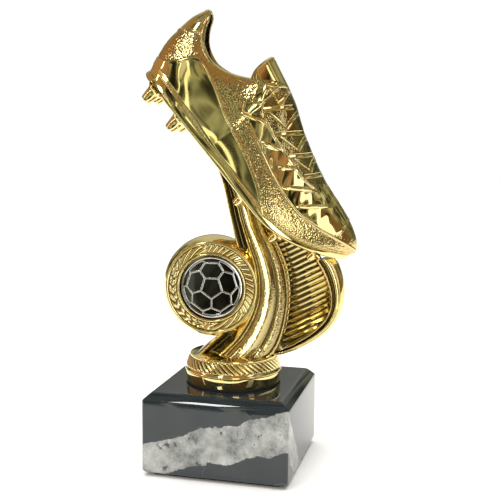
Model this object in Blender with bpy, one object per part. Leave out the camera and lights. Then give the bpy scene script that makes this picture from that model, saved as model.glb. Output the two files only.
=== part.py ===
"""Football-boot trophy: a boot on a swoosh column with a medallion, bolted to a marble base.

Blender 4.5 script.  Shapes are written in millimetres and scaled to metres when a mesh is made.
World origin: centre of the felt pad's underside, +Z up, -Y towards the medallion's face.
"""

import math

import bmesh
import bpy

MM = 0.001
GAP = 0.3                      # clearance between pieces that touch

# Base
PAD_SIZE = 54.0
PAD_THICK = 1.0
BLOCK_SIZE = 60.0
BLOCK_HEIGHT = 33.0
BLOCK_CHAMFER = 3.2
BLOCK_CORNER = 1.2
BOLT_RADIUS = 2.9
BOLT_HOLE_RADIUS = 3.5
COUNTERBORE_RADIUS = 11.0
COUNTERBORE_DEPTH = 12.0
WASHER_RADIUS = 9.0
WASHER_THICK = 1.6
HEAD_FLATS = 10.0
HEAD_HEIGHT = 4.0
NUT_HEIGHT = 5.0

# Foot of the figure, heights above the marble
FIGURE_TURN = 6.0              # degrees that the figure is turned on its bolt
GASKET_RADIUS = 20.3
GASKET_THICK = 0.8
FOOT_RADIUS = 19.8
BEAD_RADIUS = 20.2
ROPE_RADIUS = 18.4
FOOT_TOP = 12.0
FOOT_WALL = 2.2

# Column
WALL = 1.8
COLUMN_STEPS = 3               # rows between two control rows

# Medallion ring, on a Y axis through its centre
RING_CENTRE = (-8.3, 40.1)
RING_RADIUS = 21.3
RING_FACE_RADIUS = 19.0
RING_HALF_DEPTH = 7.6
RECESS_RADIUS = 13.4
INSERT_RADIUS = 12.8
INSERT_FACE = 6.2              # depth of the insert's face in front of the ring's mid-plane

# Boot, in its own frame: a along the sole, b up from it, c across
BOOT_HEEL = (-36.7, 126.7)     # x and z of the sole's rear end in the figure frame
BOOT_TILT = 49.5
BOOT_LENGTH = 109.6
TOE_SPRING_START = 72.0
TOE_SPRING_RATE = 0.0104
SOLE_THICK = 2.2
BOOT_WALL = 1.6
THROAT_START = 30.0
THROAT_END = 41.0
ANKLE_NARROWING = 0.66
BOOT_COLUMNS = 56
BOOT_ROWS = 9

GOLD = (0.83, 0.62, 0.22)


def clear_scene():
    for obj in list(bpy.data.objects):
        bpy.data.objects.remove(obj, do_unlink=True)


def make_material(name, colour, metallic, roughness):
    mat = bpy.data.materials.new(name)
    mat.use_nodes = True
    shader = mat.node_tree.nodes["Principled BSDF"]
    shader.inputs["Base Color"].default_value = (*colour, 1.0)
    shader.inputs["Metallic"].default_value = metallic
    shader.inputs["Roughness"].default_value = roughness
    return mat


def add_empty(name, location, rotation=(0.0, 0.0, 0.0), parent=None):
    empty = bpy.data.objects.new(name, None)
    empty.location = [value * MM for value in location]
    empty.rotation_euler = rotation
    empty.parent = parent
    bpy.context.collection.objects.link(empty)
    return empty


def add_object(name, bm, look, parent=None, location=(0.0, 0.0, 0.0)):
    """Makes a named object from a bmesh in millimetres; look is (colour, metallic, roughness)."""
    bmesh.ops.remove_doubles(bm, verts=bm.verts, dist=0.0005)
    bmesh.ops.recalc_face_normals(bm, faces=bm.faces)
    bmesh.ops.scale(bm, vec=(MM, MM, MM), verts=bm.verts)
    mesh = bpy.data.meshes.new(name)
    bm.to_mesh(mesh)
    bm.free()
    mesh.materials.append(make_material(name, *look))
    mesh.shade_smooth()
    mesh.set_sharp_from_angle(angle=math.radians(35.0))
    obj = bpy.data.objects.new(name, mesh)
    obj.location = [value * MM for value in location]
    obj.parent = parent
    bpy.context.collection.objects.link(obj)
    return obj


def as_cutter(obj):
    obj.hide_render = True
    obj.display_type = "WIRE"
    return obj


def add_boolean(obj, other, operation):
    modifier = obj.modifiers.new(operation.title(), "BOOLEAN")
    modifier.operation = operation
    modifier.solver = "EXACT"
    modifier.object = as_cutter(other)


def loft(bm, loops, caps=True):
    """Joins closed loops of (x, y, z) points into one body, with a flat face on each end."""
    rings = [[bm.verts.new(point) for point in loop] for loop in loops]
    for low, high in zip(rings, rings[1:]):
        for i in range(len(low)):
            j = (i + 1) % len(low)
            bm.faces.new((low[i], low[j], high[j], high[i]))
    if caps:
        bm.faces.new(rings[0])
        bm.faces.new(rings[-1])
    return bm


def turned(profile, segments, along_y=False):
    """Turns a closed (radius, height) profile about Z, or about Y with along_y."""
    bm = bmesh.new()
    rings = []
    for step in range(segments):
        angle = 2.0 * math.pi * step / segments
        ring = []
        for radius, height in profile:
            x, side = radius * math.cos(angle), radius * math.sin(angle)
            point = (x, height, side) if along_y else (x, side, height)
            ring.append(bm.verts.new(point))
        rings.append(ring)
    count = len(profile)
    for step in range(segments):
        here, there = rings[step], rings[(step + 1) % segments]
        for i in range(count):
            j = (i + 1) % count
            on_axis = profile[i][0] == 0.0 and profile[j][0] == 0.0
            if not on_axis:
                bm.faces.new((here[i], here[j], there[j], there[i]))
    bmesh.ops.remove_doubles(bm, verts=bm.verts, dist=0.0005)
    bmesh.ops.dissolve_degenerate(bm, edges=bm.edges, dist=0.0001)
    return bm


def rod(radius, bottom, top, sides, taper=1.0, centre=(0.0, 0.0)):
    """A prism or cone with its axis on Z, taper being its bottom radius over its top one."""
    bm = bmesh.new()
    loops = []
    for height, size in ((bottom, radius * taper), (top, radius)):
        loop = []
        for side in range(sides):
            angle = 2.0 * math.pi * (side + 0.5) / sides
            x = centre[0] + size * math.cos(angle)
            y = centre[1] + size * math.sin(angle)
            loop.append((x, y, height))
        loops.append(loop)
    return loft(bm, loops)


def curve(points, x):
    """Smooth curve through (x, value) points, held level past both ends."""
    if x <= points[0][0]:
        return points[0][1]
    if x >= points[-1][0]:
        return points[-1][1]
    slopes = []
    for i in range(len(points)):
        before = points[max(i - 1, 0)]
        after = points[min(i + 1, len(points) - 1)]
        slopes.append((after[1] - before[1]) / (after[0] - before[0]))
    i = 0
    while points[i + 1][0] < x:
        i += 1
    (x0, v0), (x1, v1) = points[i], points[i + 1]
    span = x1 - x0
    s = (x - x0) / span
    start = (1 + 2 * s) * (1 - s) ** 2 * v0 + s * (1 - s) ** 2 * span * slopes[i]
    end = s * s * (3 - 2 * s) * v1 + s * s * (s - 1) * span * slopes[i + 1]
    return start + end


def smooth_path(points, steps):
    """Catmull-Rom curve through points of any dimension, with steps pieces to each span."""
    path = []
    last = len(points) - 1
    for i in range(last):
        p0, p1 = points[max(i - 1, 0)], points[i]
        p2, p3 = points[i + 1], points[min(i + 2, last)]
        for step in range(steps):
            t = step / steps
            path.append(tuple(
                0.5 * (2 * b + (c - a) * t + (2 * a - 5 * b + 4 * c - d) * t * t
                       + (3 * b - a - 3 * c + d) * t ** 3)
                for a, b, c, d in zip(p0, p1, p2, p3)
            ))
    path.append(tuple(points[last]))
    return path


# ---------------------------------------------------------------- base

def square_loop(half, corner, z):
    near = half - corner
    return [
        (-near, -half, z), (near, -half, z), (half, -near, z), (half, near, z),
        (near, half, z), (-near, half, z), (-half, near, z), (-half, -near, z),
    ]


def build_felt_pad():
    bm = bmesh.new()
    half = PAD_SIZE / 2
    loft(bm, [square_loop(half, 2.0, 0.0), square_loop(half, 2.0, PAD_THICK)])
    add_object("felt_pad", bm, ((0.02, 0.02, 0.022), 0.0, 0.95))


def build_marble_base():
    half = BLOCK_SIZE / 2
    top = half - BLOCK_CHAMFER
    bm = bmesh.new()
    loft(bm, [
        square_loop(half - BLOCK_CORNER, BLOCK_CORNER, 0.0),
        square_loop(half, BLOCK_CORNER, BLOCK_CORNER),
        square_loop(half, BLOCK_CORNER, BLOCK_HEIGHT - BLOCK_CHAMFER),
        square_loop(top, BLOCK_CORNER * 0.4, BLOCK_HEIGHT),
    ])
    place = (0.0, 0.0, PAD_THICK + GAP)
    block = add_object("marble_base", bm, ((0.02, 0.022, 0.026), 0.0, 0.08), location=place)
    hole = rod(BOLT_HOLE_RADIUS, -5.0, BLOCK_HEIGHT + 5.0, 24)
    counterbore = rod(COUNTERBORE_RADIUS, -5.0, COUNTERBORE_DEPTH, 36)
    cutter_look = ((0.5, 0.5, 0.5), 0.0, 0.5)
    for name, cutter in (("bolt_hole_cutter", hole), ("counterbore_cutter", counterbore)):
        add_boolean(block, add_object(name, cutter, cutter_look, location=place), "DIFFERENCE")


def build_bolt_and_washer():
    steel = ((0.55, 0.56, 0.58), 1.0, 0.3)
    washer_top = PAD_THICK + GAP + COUNTERBORE_DEPTH - GAP
    washer_bottom = washer_top - WASHER_THICK
    hole = BOLT_RADIUS + 0.4
    profile = [
        (hole, washer_bottom), (WASHER_RADIUS, washer_bottom),
        (WASHER_RADIUS, washer_top), (hole, washer_top),
    ]
    add_object("base_washer", turned(profile, 32), steel)

    head_top = washer_bottom - GAP
    head_radius = HEAD_FLATS / math.sqrt(3.0)
    shank_top = PAD_THICK + GAP + BLOCK_HEIGHT + FOOT_TOP - 0.8
    bm = rod(head_radius, head_top - HEAD_HEIGHT, head_top, 6)
    head = add_object("base_bolt", bm, steel)
    shank = rod(BOLT_RADIUS, head_top - 1.0, shank_top, 16)
    add_boolean(head, add_object("bolt_shank", shank, steel), "UNION")


# ---------------------------------------------------------------- foot

def build_foot(figure):
    gasket = [
        (BOLT_HOLE_RADIUS, GAP), (GASKET_RADIUS, GAP),
        (GASKET_RADIUS, GAP + GASKET_THICK), (BOLT_HOLE_RADIUS, GAP + GASKET_THICK),
    ]
    add_object("foot_gasket", turned(gasket, 56), ((0.01, 0.01, 0.01), 0.0, 0.7), figure)

    low = GAP + GASKET_THICK + GAP
    boss = HEAD_FLATS / math.sqrt(3.0) + 2.4
    plate = FOOT_TOP - FOOT_WALL
    profile = [
        (BOLT_HOLE_RADIUS, low), (boss, low), (boss, plate),
        (ROPE_RADIUS - FOOT_WALL, plate), (FOOT_RADIUS - FOOT_WALL, low),
        (FOOT_RADIUS, low), (FOOT_RADIUS, 4.9), (BEAD_RADIUS, 5.3), (BEAD_RADIUS, 6.5),
        (BEAD_RADIUS - 0.4, 7.6), (ROPE_RADIUS + 0.6, 9.2), (ROPE_RADIUS, 10.8),
        (ROPE_RADIUS - 0.6, FOOT_TOP), (BOLT_HOLE_RADIUS, FOOT_TOP),
    ]
    gold = (GOLD, 1.0, 0.12)
    foot = add_object("foot_collar", turned(profile, 56), gold, figure)
    pocket_floor = FOOT_TOP - NUT_HEIGHT - 2 * GAP
    across = HEAD_FLATS / math.sqrt(3.0)
    pocket = rod(across + 0.4, pocket_floor, FOOT_TOP + 2.0, 6)
    add_boolean(foot, add_object("nut_pocket", pocket, gold, figure), "DIFFERENCE")

    nut_bottom = pocket_floor + GAP
    nut = add_object(
        "captive_nut", rod(across, nut_bottom, nut_bottom + NUT_HEIGHT, 6),
        ((0.6, 0.6, 0.62), 1.0, 0.35), figure,
    )
    thread = rod(BOLT_RADIUS + 0.35, 0.0, FOOT_TOP + 5.0, 16)
    add_boolean(nut, add_object("nut_thread", thread, gold, figure), "DIFFERENCE")


# ---------------------------------------------------------------- column

# Rows from the foot to the sole: left edge x and z, right edge x and z, half depth.
COLUMN_ROWS = [
    (-14.4, 12.4, 15.4, 12.4, 10.0),
    (-8.9, 16.4, 18.9, 15.6, 9.8),
    (-4.0, 21.6, 21.4, 20.6, 9.4),
    (1.6, 30.0, 23.2, 29.0, 9.0),
    (4.4, 39.5, 23.8, 38.0, 8.8),
    (3.8, 49.5, 22.4, 48.0, 8.8),
    (0.9, 60.0, 18.6, 57.6, 8.9),
    (-1.7, 71.0, 15.4, 62.6, 8.9),
    (-4.4, 83.0, 14.1, 65.6, 8.7),
    (-8.0, 92.4, 13.6, 66.9, 8.4),
]
# Depth across the column as a share of the half depth: flute, ridge, two ribbons.
COLUMN_SECTION = [
    (0.0, 0.46), (0.08, 0.62), (0.17, 0.52), (0.27, 0.66), (0.35, 0.92), (0.43, 1.0),
    (0.54, 0.96), (0.64, 0.84), (0.70, 0.74), (0.78, 0.80), (0.89, 0.74), (1.0, 0.42),
]


def column_loop(row, side):
    """One row of a half shell; side is -1 for the front half and 1 for the rear half."""
    left_x, left_z, right_x, right_z, depth = row
    width = math.hypot(right_x - left_x, right_z - left_z)
    inset = WALL / width

    def at(share, y):
        x = left_x + (right_x - left_x) * share
        z = left_z + (right_z - left_z) * share
        return (x, side * y, z)

    outer = [at(0.0, GAP / 2)]
    outer += [at(share, depth * part) for share, part in COLUMN_SECTION]
    outer.append(at(1.0, GAP / 2))
    inner = [at(inset, GAP / 2)]
    for share, part in COLUMN_SECTION:
        inner.append(at(inset + share * (1.0 - 2.0 * inset), depth * part - WALL))
    inner.append(at(1.0 - inset, GAP / 2))
    return outer + inner[::-1]


def ring_cutter_profile():
    """The ring's outside with the clearance added, closed on its axis."""
    deep = RING_HALF_DEPTH + GAP
    return [
        (0.0, -deep), (RING_FACE_RADIUS + GAP, -deep), (RING_RADIUS - 0.3 + GAP, -4.2),
        (RING_RADIUS + GAP, -1.5), (RING_RADIUS + GAP, 1.5), (RING_RADIUS - 0.3 + GAP, 4.2),
        (RING_FACE_RADIUS + GAP, deep), (0.0, deep),
    ]


def build_column(figure):
    gold = (GOLD, 1.0, 0.16)
    rows = smooth_path(COLUMN_ROWS, COLUMN_STEPS)
    ring_place = (RING_CENTRE[0], 0.0, RING_CENTRE[1])
    cutter = add_object(
        "ring_seat_cutter", turned(ring_cutter_profile(), 56, along_y=True), gold, figure,
        ring_place,
    )
    for name, side in (("column_front_shell", -1.0), ("column_rear_shell", 1.0)):
        bm = bmesh.new()
        loft(bm, [column_loop(row, side) for row in rows])
        add_boolean(add_object(name, bm, gold, figure), cutter, "DIFFERENCE")


# ---------------------------------------------------------------- crescent rim and web

# Stations along the rim from the foot to the toe: inner edge x and z, outer edge x and z.
RIM_STATIONS = [
    (20.9, 15.0, 19.8, 11.9),
    (27.0, 18.2, 28.6, 15.2),
    (32.6, 22.0, 35.7, 19.2),
    (37.4, 26.6, 40.6, 23.4),
    (40.0, 31.4, 44.2, 29.2),
    (40.5, 36.8, 46.0, 36.2),
    (39.2, 42.6, 45.8, 43.6),
    (36.9, 48.0, 43.6, 50.4),
    (34.3, 52.2, 41.2, 53.0),
]
RIM_HALF_DEPTH = 5.0
# Share across the rim from the inner to the outer edge, and share of the half depth.
RIM_SECTION = [
    (0.0, 0.80), (0.10, 0.96), (0.34, 0.92), (0.42, 0.74), (0.54, 0.74), (0.64, 1.0),
    (0.90, 0.90), (1.0, 0.62),
]
WEB_HALF_THICK = 1.8
WEB_LOW = 17.6


def build_rim(figure):
    stations = smooth_path(RIM_STATIONS, 3)
    loops = []
    for inner_x, inner_z, outer_x, outer_z in stations:
        loop = []
        for side, section in ((-1.0, RIM_SECTION), (1.0, RIM_SECTION[::-1])):
            for share, part in section:
                x = inner_x + (outer_x - inner_x) * share
                z = inner_z + (outer_z - inner_z) * share
                loop.append((x, side * part * RIM_HALF_DEPTH, z))
        loops.append(loop)
    bm = bmesh.new()
    loft(bm, loops)
    add_object("crescent_rim", bm, (GOLD, 1.0, 0.12), figure)


def sole_bottom(a):
    return TOE_SPRING_RATE * max(0.0, a - TOE_SPRING_START) ** 2


def figure_point(a, b):
    """x and z in the figure frame of a boot-frame point."""
    tilt = math.radians(BOOT_TILT)
    x = BOOT_HEEL[0] + a * math.cos(tilt) + b * math.sin(tilt)
    z = BOOT_HEEL[1] - a * math.sin(tilt) + b * math.cos(tilt)
    return x, z


def build_web(figure):
    """A plate bounded by the column's right edge, the rim's inner edge and the boot's sole."""
    column_side = []
    for row in smooth_path(COLUMN_ROWS, COLUMN_STEPS):
        if row[3] > WEB_LOW:
            column_side.append((row[2] + GAP + 0.15, row[3]))
    rim_side = []
    for inner_x, inner_z, outer_x, outer_z in smooth_path(RIM_STATIONS, 3):
        length = math.hypot(outer_x - inner_x, outer_z - inner_z)
        x = inner_x - (outer_x - inner_x) / length * GAP
        z = inner_z - (outer_z - inner_z) / length * GAP
        if x > column_side[0][0] + 0.8:
            rim_side.append((x, z))
    sole_side = []
    for step in range(8):
        a = 100.4 - step * 3.0
        sole_side.append(figure_point(a, sole_bottom(a) - GAP))
    column_side = [point for point in column_side if point[1] < sole_side[-1][1] - 0.2]
    outline = rim_side + sole_side + column_side[::-1]
    bm = bmesh.new()
    loft(bm, [[(x, y, z) for x, z in outline] for y in (-WEB_HALF_THICK, WEB_HALF_THICK)])
    add_object("ribbed_web", bm, (GOLD, 1.0, 0.2), figure)


# ---------------------------------------------------------------- medallion

def build_medallion(figure):
    gold = (GOLD, 1.0, 0.12)
    place = (RING_CENTRE[0], 0.0, RING_CENTRE[1])
    face = RING_HALF_DEPTH
    floor = 3.4
    front = [
        (RING_RADIUS, -GAP / 2), (RING_RADIUS, -1.5), (RING_RADIUS - 0.3, -4.2),
        (RING_FACE_RADIUS + 0.6, -6.8), (RING_FACE_RADIUS - 0.2, -face), (18.3, -face),
        (17.9, -face + 0.5), (14.6, -face + 0.5), (14.2, -face), (RECESS_RADIUS + 0.4, -face),
        (RECESS_RADIUS, -face + 0.6), (RECESS_RADIUS, -floor), (0.0, -floor),
        (0.0, -floor + WALL), (RECESS_RADIUS + WALL, -floor + WALL),
        (RECESS_RADIUS + WALL + 0.4, -face + WALL + 0.6), (17.4, -face + WALL + 0.4),
        (RING_RADIUS - WALL, -3.0), (RING_RADIUS - WALL, -GAP / 2),
    ]
    add_object("medallion_ring_front", turned(front, 56, True), gold, figure, place)
    rear = [
        (RING_RADIUS, GAP / 2), (RING_RADIUS, 1.5), (RING_RADIUS - 0.3, 4.2),
        (RING_FACE_RADIUS + 0.6, 6.8), (RING_FACE_RADIUS - 0.2, face), (18.3, face),
        (17.9, face - 0.5), (14.2, face - 0.5), (RECESS_RADIUS, face), (12.6, face - 0.8),
        (0.0, face - 0.8), (0.0, face - 0.8 - WALL), (17.4, face - WALL - 0.8),
        (RING_RADIUS - WALL, 3.0), (RING_RADIUS - WALL, GAP / 2),
    ]
    add_object("medallion_ring_rear", turned(rear, 56, True), gold, figure, place)

    insert_back = INSERT_FACE - 1.2
    pad = [
        (0.0, -insert_back + GAP), (INSERT_RADIUS - 1.0, -insert_back + GAP),
        (INSERT_RADIUS - 1.0, -floor - GAP), (0.0, -floor - GAP),
    ]
    foam = ((0.9, 0.9, 0.88), 0.0, 0.9)
    add_object("medallion_foam_pad", turned(pad, 40, True), foam, figure, place)
    disc = [
        (0.0, -INSERT_FACE + 0.3), (11.6, -INSERT_FACE + 0.3), (11.9, -INSERT_FACE),
        (INSERT_RADIUS - 0.2, -INSERT_FACE), (INSERT_RADIUS, -INSERT_FACE + 0.2),
        (INSERT_RADIUS, -insert_back), (0.0, -insert_back),
    ]
    insert = ((0.03, 0.03, 0.03), 0.6, 0.2)
    add_object("medallion_disc", turned(disc, 56, True), insert, figure, place)


# ---------------------------------------------------------------- boot

BOOT_HALF_WIDTH = [(0, 12.8), (15, 13.2), (38, 12.6), (60, 16.0), (78, 18.4), (95, 17.6), (110, 15.0)]
BOOT_TOP = [
    (-5, 35.4), (-2, 36.4), (0.4, 35.0), (3, 30.8), (6.5, 27.2), (11, 25.2), (16, 24.8),
    (24, 27.8), (31, 32.8), (41, 40.6), (62, 33.8), (78, 29.2), (98, 26.2), (106, 23.8),
    (111, 20.5),
]


def throat_share(a):
    """Half width of the opening at height a's top edge, as a share of the boot's half width."""
    if a >= THROAT_END:
        return 0.0
    if a <= THROAT_START:
        return ANKLE_NARROWING
    part = (a - THROAT_START) / (THROAT_END - THROAT_START)
    return ANKLE_NARROWING * math.sqrt(1.0 - part ** 4)


def boot_point(angle, lift, inset):
    """Boot-frame point: angle 0 at the heel to pi at the toe and back, lift 0 at the sole to 1."""
    phase = lift * math.pi / 2
    rise = math.sin(phase) ** 1.15
    if lift >= 1.0:
        rise = 1.0
    rear = -4.9 * math.sin(math.pi / 2 * min(1.0, rise * 1.9)) + 2.2 * max(0.0, rise - 0.75) ** 2 * 16
    front = BOOT_LENGTH + 1.2 * math.sin(math.pi * rise * 0.9) - 0.8 * rise * rise
    share = (1.0 - math.cos(angle)) / 2.0
    throat = throat_share(rear + (front - rear) * share)
    a = rear + inset + (front - rear - 2.0 * inset) * share
    bottom = sole_bottom(a) + SOLE_THICK + GAP
    top = curve(BOOT_TOP, a) - inset * (1.0 - throat / ANKLE_NARROWING)
    roundness = (1.0 - abs(math.cos(angle)) ** 2.6) ** (1.0 / 2.6)
    half = (curve(BOOT_HALF_WIDTH, a) - inset) * roundness
    power = 1.0 - 0.25 * min(1.0, max(0.0, (a - 80.0) / 25.0))
    side = max(0.0, math.cos(phase)) ** power if lift < 1.0 else 0.0
    width = half * (throat + (1.0 - throat) * side)
    c = -width if math.sin(angle) > 0.0 else width
    return a, c, bottom + rise * (top - bottom)


def build_upper(boot):
    """The boot's shell: outer skin, inner skin, the ankle rim, and the rim under the sole edge."""
    bm = bmesh.new()
    skins = []
    for inset in (0.0, BOOT_WALL):
        skin = []
        for i in range(BOOT_COLUMNS):
            angle = 2.0 * math.pi * i / BOOT_COLUMNS
            column = []
            for j in range(BOOT_ROWS + 1):
                column.append(bm.verts.new(boot_point(angle, j / BOOT_ROWS, inset)))
            skin.append(column)
        skins.append(skin)
    outer, inner = skins
    for i in range(BOOT_COLUMNS):
        k = (i + 1) % BOOT_COLUMNS
        for skin in skins:
            for j in range(BOOT_ROWS):
                bm.faces.new((skin[i][j], skin[k][j], skin[k][j + 1], skin[i][j + 1]))
        bm.faces.new((outer[i][0], outer[k][0], inner[k][0], inner[i][0]))
        open_here = throat_share(outer[i][-1].co.x) > 0.0
        open_next = throat_share(outer[k][-1].co.x) > 0.0
        if open_here or open_next:
            bm.faces.new((outer[i][-1], outer[k][-1], inner[k][-1], inner[i][-1]))
    add_object("boot_upper", bm, (GOLD, 1.0, 0.14), boot)


def build_sole(boot):
    """The sole plate with its studs joined on."""
    pairs = BOOT_COLUMNS // 2
    sections = []
    for i in range(1, pairs):
        angle = math.pi * i / pairs
        a, c, _ = boot_point(angle, 0.0, 0.0)
        low, high = sole_bottom(a), sole_bottom(a) + SOLE_THICK
        half = abs(c) + 0.3
        sections.append([(a, -half, low), (a, half, low), (a, half, high), (a, -half, high)])
    bm = bmesh.new()
    loft(bm, sections)
    gold = (GOLD, 1.0, 0.14)
    sole = add_object("boot_sole_plate", bm, gold, boot)
    rows = [(9.0, 8.0, 6.0, 3.3), (24.0, 8.0, 6.0, 3.3), (64.5, 12.6, 4.0, 2.6),
            (84.5, 13.4, 4.0, 2.6), (100.0, 9.8, 3.8, 2.5)]
    studs = [(a, side * c, tall, radius) for a, c, tall, radius in rows for side in (-1, 1)]
    for number, (a, c, tall, radius) in enumerate(studs, 1):
        base = sole_bottom(a)
        stud = rod(radius, base - tall, base + 1.0, 10, taper=0.6, centre=(a, c))
        cone = add_object(f"stud_{number:02d}", stud, gold, boot)
        add_boolean(sole, cone, "UNION")


def build_tongue(boot):
    """A curved leaf that comes out of the throat, rooted inside the boot."""
    # Along the leaf: a and b of its middle line, half width, and how far its edges drop.
    spine = [
        (46.5, 34.4, 3.4, 1.6), (43.0, 35.8, 3.4, 1.2), (40.2, 37.6, 3.6, 1.2),
        (37.6, 40.4, 4.6, 2.2), (35.0, 42.0, 6.4, 4.6), (32.0, 42.9, 7.4, 7.4),
        (29.8, 43.4, 7.4, 8.6), (28.6, 43.2, 6.8, 8.2),
    ]
    half_thick = 0.7
    shares = (-1.0, -0.88, -0.62, -0.3, 0.0, 0.3, 0.62, 0.88, 1.0)
    loops = []
    for a, b, half, drop in smooth_path(spine, 3):
        lows = [b - drop * (1.0 - math.sqrt(1.0 - (0.97 * share) ** 2)) for share in shares]
        top = [(a, half * share, low + half_thick) for share, low in zip(shares, lows)]
        under = [(a, half * 0.9 * share, low - half_thick) for share, low in zip(shares, lows)]
        loops.append(top + under[::-1])
    bm = bmesh.new()
    loft(bm, loops)
    add_object("boot_tongue", bm, (GOLD, 1.0, 0.14), boot)


def main():
    clear_scene()
    build_felt_pad()
    build_marble_base()
    build_bolt_and_washer()
    figure_height = PAD_THICK + GAP + BLOCK_HEIGHT
    turn = (0.0, 0.0, math.radians(FIGURE_TURN))
    figure = add_empty("figure_frame", (0.0, 0.0, figure_height), turn)
    build_foot(figure)
    build_column(figure)
    build_rim(figure)
    build_web(figure)
    build_medallion(figure)
    tilt = (0.0, math.radians(BOOT_TILT), 0.0)
    boot = add_empty("boot_frame", (BOOT_HEEL[0], 0.0, BOOT_HEEL[1]), tilt, figure)
    build_upper(boot)
    build_sole(boot)
    build_tongue(boot)


main()
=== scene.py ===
"""Looks of the football-boot trophy: gold mouldings, medallion insert and marble, around the CAD frame."""

import math

import bmesh
import bpy
import numpy as np
from mathutils import Matrix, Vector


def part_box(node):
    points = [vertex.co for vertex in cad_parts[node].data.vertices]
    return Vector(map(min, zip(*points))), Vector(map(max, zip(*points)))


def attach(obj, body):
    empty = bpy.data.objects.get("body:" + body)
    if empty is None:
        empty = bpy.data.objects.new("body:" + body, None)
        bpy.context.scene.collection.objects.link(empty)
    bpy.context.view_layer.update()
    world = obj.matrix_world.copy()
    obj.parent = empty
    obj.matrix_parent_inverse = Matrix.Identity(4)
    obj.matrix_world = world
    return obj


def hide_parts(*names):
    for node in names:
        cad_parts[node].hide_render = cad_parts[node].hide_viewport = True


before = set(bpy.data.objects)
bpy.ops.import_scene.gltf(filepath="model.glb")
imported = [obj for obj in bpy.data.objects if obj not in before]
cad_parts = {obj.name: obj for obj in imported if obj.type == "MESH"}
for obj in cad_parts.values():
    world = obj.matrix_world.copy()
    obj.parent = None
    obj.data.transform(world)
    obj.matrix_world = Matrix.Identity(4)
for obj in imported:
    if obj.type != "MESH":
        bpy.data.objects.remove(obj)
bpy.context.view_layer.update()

MM = 0.001

# Places read from the CAD
block_low, block_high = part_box("marble_base")
pad_low, pad_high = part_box("felt_pad")
BLOCK_BOTTOM = block_low.z / MM
BLOCK_TOP = block_high.z / MM
BLOCK_HALF = block_high.x / MM

# The figure's own frame, and the boot's frame in it, as in the CAD
FIGURE_TURN = 6.0
BOOT_HEEL = (-36.7, 126.7)
BOOT_TILT = 49.5
FIGURE = Matrix.Translation((0, 0, BLOCK_TOP)) @ Matrix.Rotation(math.radians(FIGURE_TURN), 4, "Z")
BOOT = (
    FIGURE @ Matrix.Translation((BOOT_HEEL[0], 0, BOOT_HEEL[1]))
    @ Matrix.Rotation(math.radians(BOOT_TILT), 4, "Y")
)
WORLD = Matrix.Identity(4)

RNG = np.random.default_rng(7)
HASH = RNG.permutation(1024)


# ---------------------------------------------------------------- number helpers

def smooth(edge0, edge1, x):
    t = np.clip((x - edge0) / (edge1 - edge0), 0.0, 1.0)
    return t * t * (3.0 - 2.0 * t)


def bump(x, width):
    """A rounded ridge about x = 0."""
    return np.exp(-(x / width) ** 2)


def curve(points, x):
    """Smooth curve through (x, value) points, held level past both ends."""
    px = np.array([point[0] for point in points], float)
    pv = np.array([point[1] for point in points], float)
    before = np.maximum(np.arange(len(px)) - 1, 0)
    after = np.minimum(np.arange(len(px)) + 1, len(px) - 1)
    slope = (pv[after] - pv[before]) / (px[after] - px[before])
    x = np.clip(np.asarray(x, float), px[0], px[-1])
    i = np.clip(np.searchsorted(px, x) - 1, 0, len(px) - 2)
    span = px[i + 1] - px[i]
    s = (x - px[i]) / span
    start = (1 + 2 * s) * (1 - s) ** 2 * pv[i] + s * (1 - s) ** 2 * span * slope[i]
    end = s * s * (3 - 2 * s) * pv[i + 1] + s * s * (s - 1) * span * slope[i + 1]
    return start + end


def smooth_path(points, steps):
    """Catmull-Rom curve through points of any dimension."""
    points = np.array(points, float)
    last = len(points) - 1
    path = []
    for i in range(last):
        a, b = points[max(i - 1, 0)], points[i]
        c, d = points[i + 1], points[min(i + 2, last)]
        for step in range(steps):
            t = step / steps
            path.append(0.5 * (2 * b + (c - a) * t + (2 * a - 5 * b + 4 * c - d) * t * t
                               + (3 * b - a - 3 * c + d) * t ** 3))
    path.append(points[last])
    return np.array(path)


def lattice_noise(points, cell):
    """Smooth value noise in 0..1 at points (..., 3)."""
    q = points / cell
    base = np.floor(q).astype(int)
    f = q - base
    f = f * f * (3.0 - 2.0 * f)
    total = np.zeros(points.shape[:-1])
    for dx in (0, 1):
        for dy in (0, 1):
            for dz in (0, 1):
                h = HASH[(base[..., 0] + dx) % 1024]
                h = HASH[(h + base[..., 1] + dy) % 1024]
                h = HASH[(h + base[..., 2] + dz) % 1024]
                wx = f[..., 0] if dx else 1 - f[..., 0]
                wy = f[..., 1] if dy else 1 - f[..., 1]
                wz = f[..., 2] if dz else 1 - f[..., 2]
                total += wx * wy * wz * h / 1023.0
    return total


def whole_turn(count):
    """Angles of count even steps round a circle."""
    return 2 * np.pi * np.arange(count) / count


def grid_normals(points, wrap_u, wrap_v):
    """Unit normals of a (U, V, 3) grid by central differences."""
    def difference(axis, wrap):
        if wrap:
            return np.roll(points, -1, axis) - np.roll(points, 1, axis)
        return np.gradient(points, axis=axis)
    normal = np.cross(difference(0, wrap_u), difference(1, wrap_v))
    length = np.linalg.norm(normal, axis=-1, keepdims=True)
    return normal / np.maximum(length, 1e-9)


# ---------------------------------------------------------------- mesh helpers

def add_object(name, data):
    obj = bpy.data.objects.new(name, data)
    bpy.context.scene.collection.objects.link(obj)
    return obj


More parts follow.
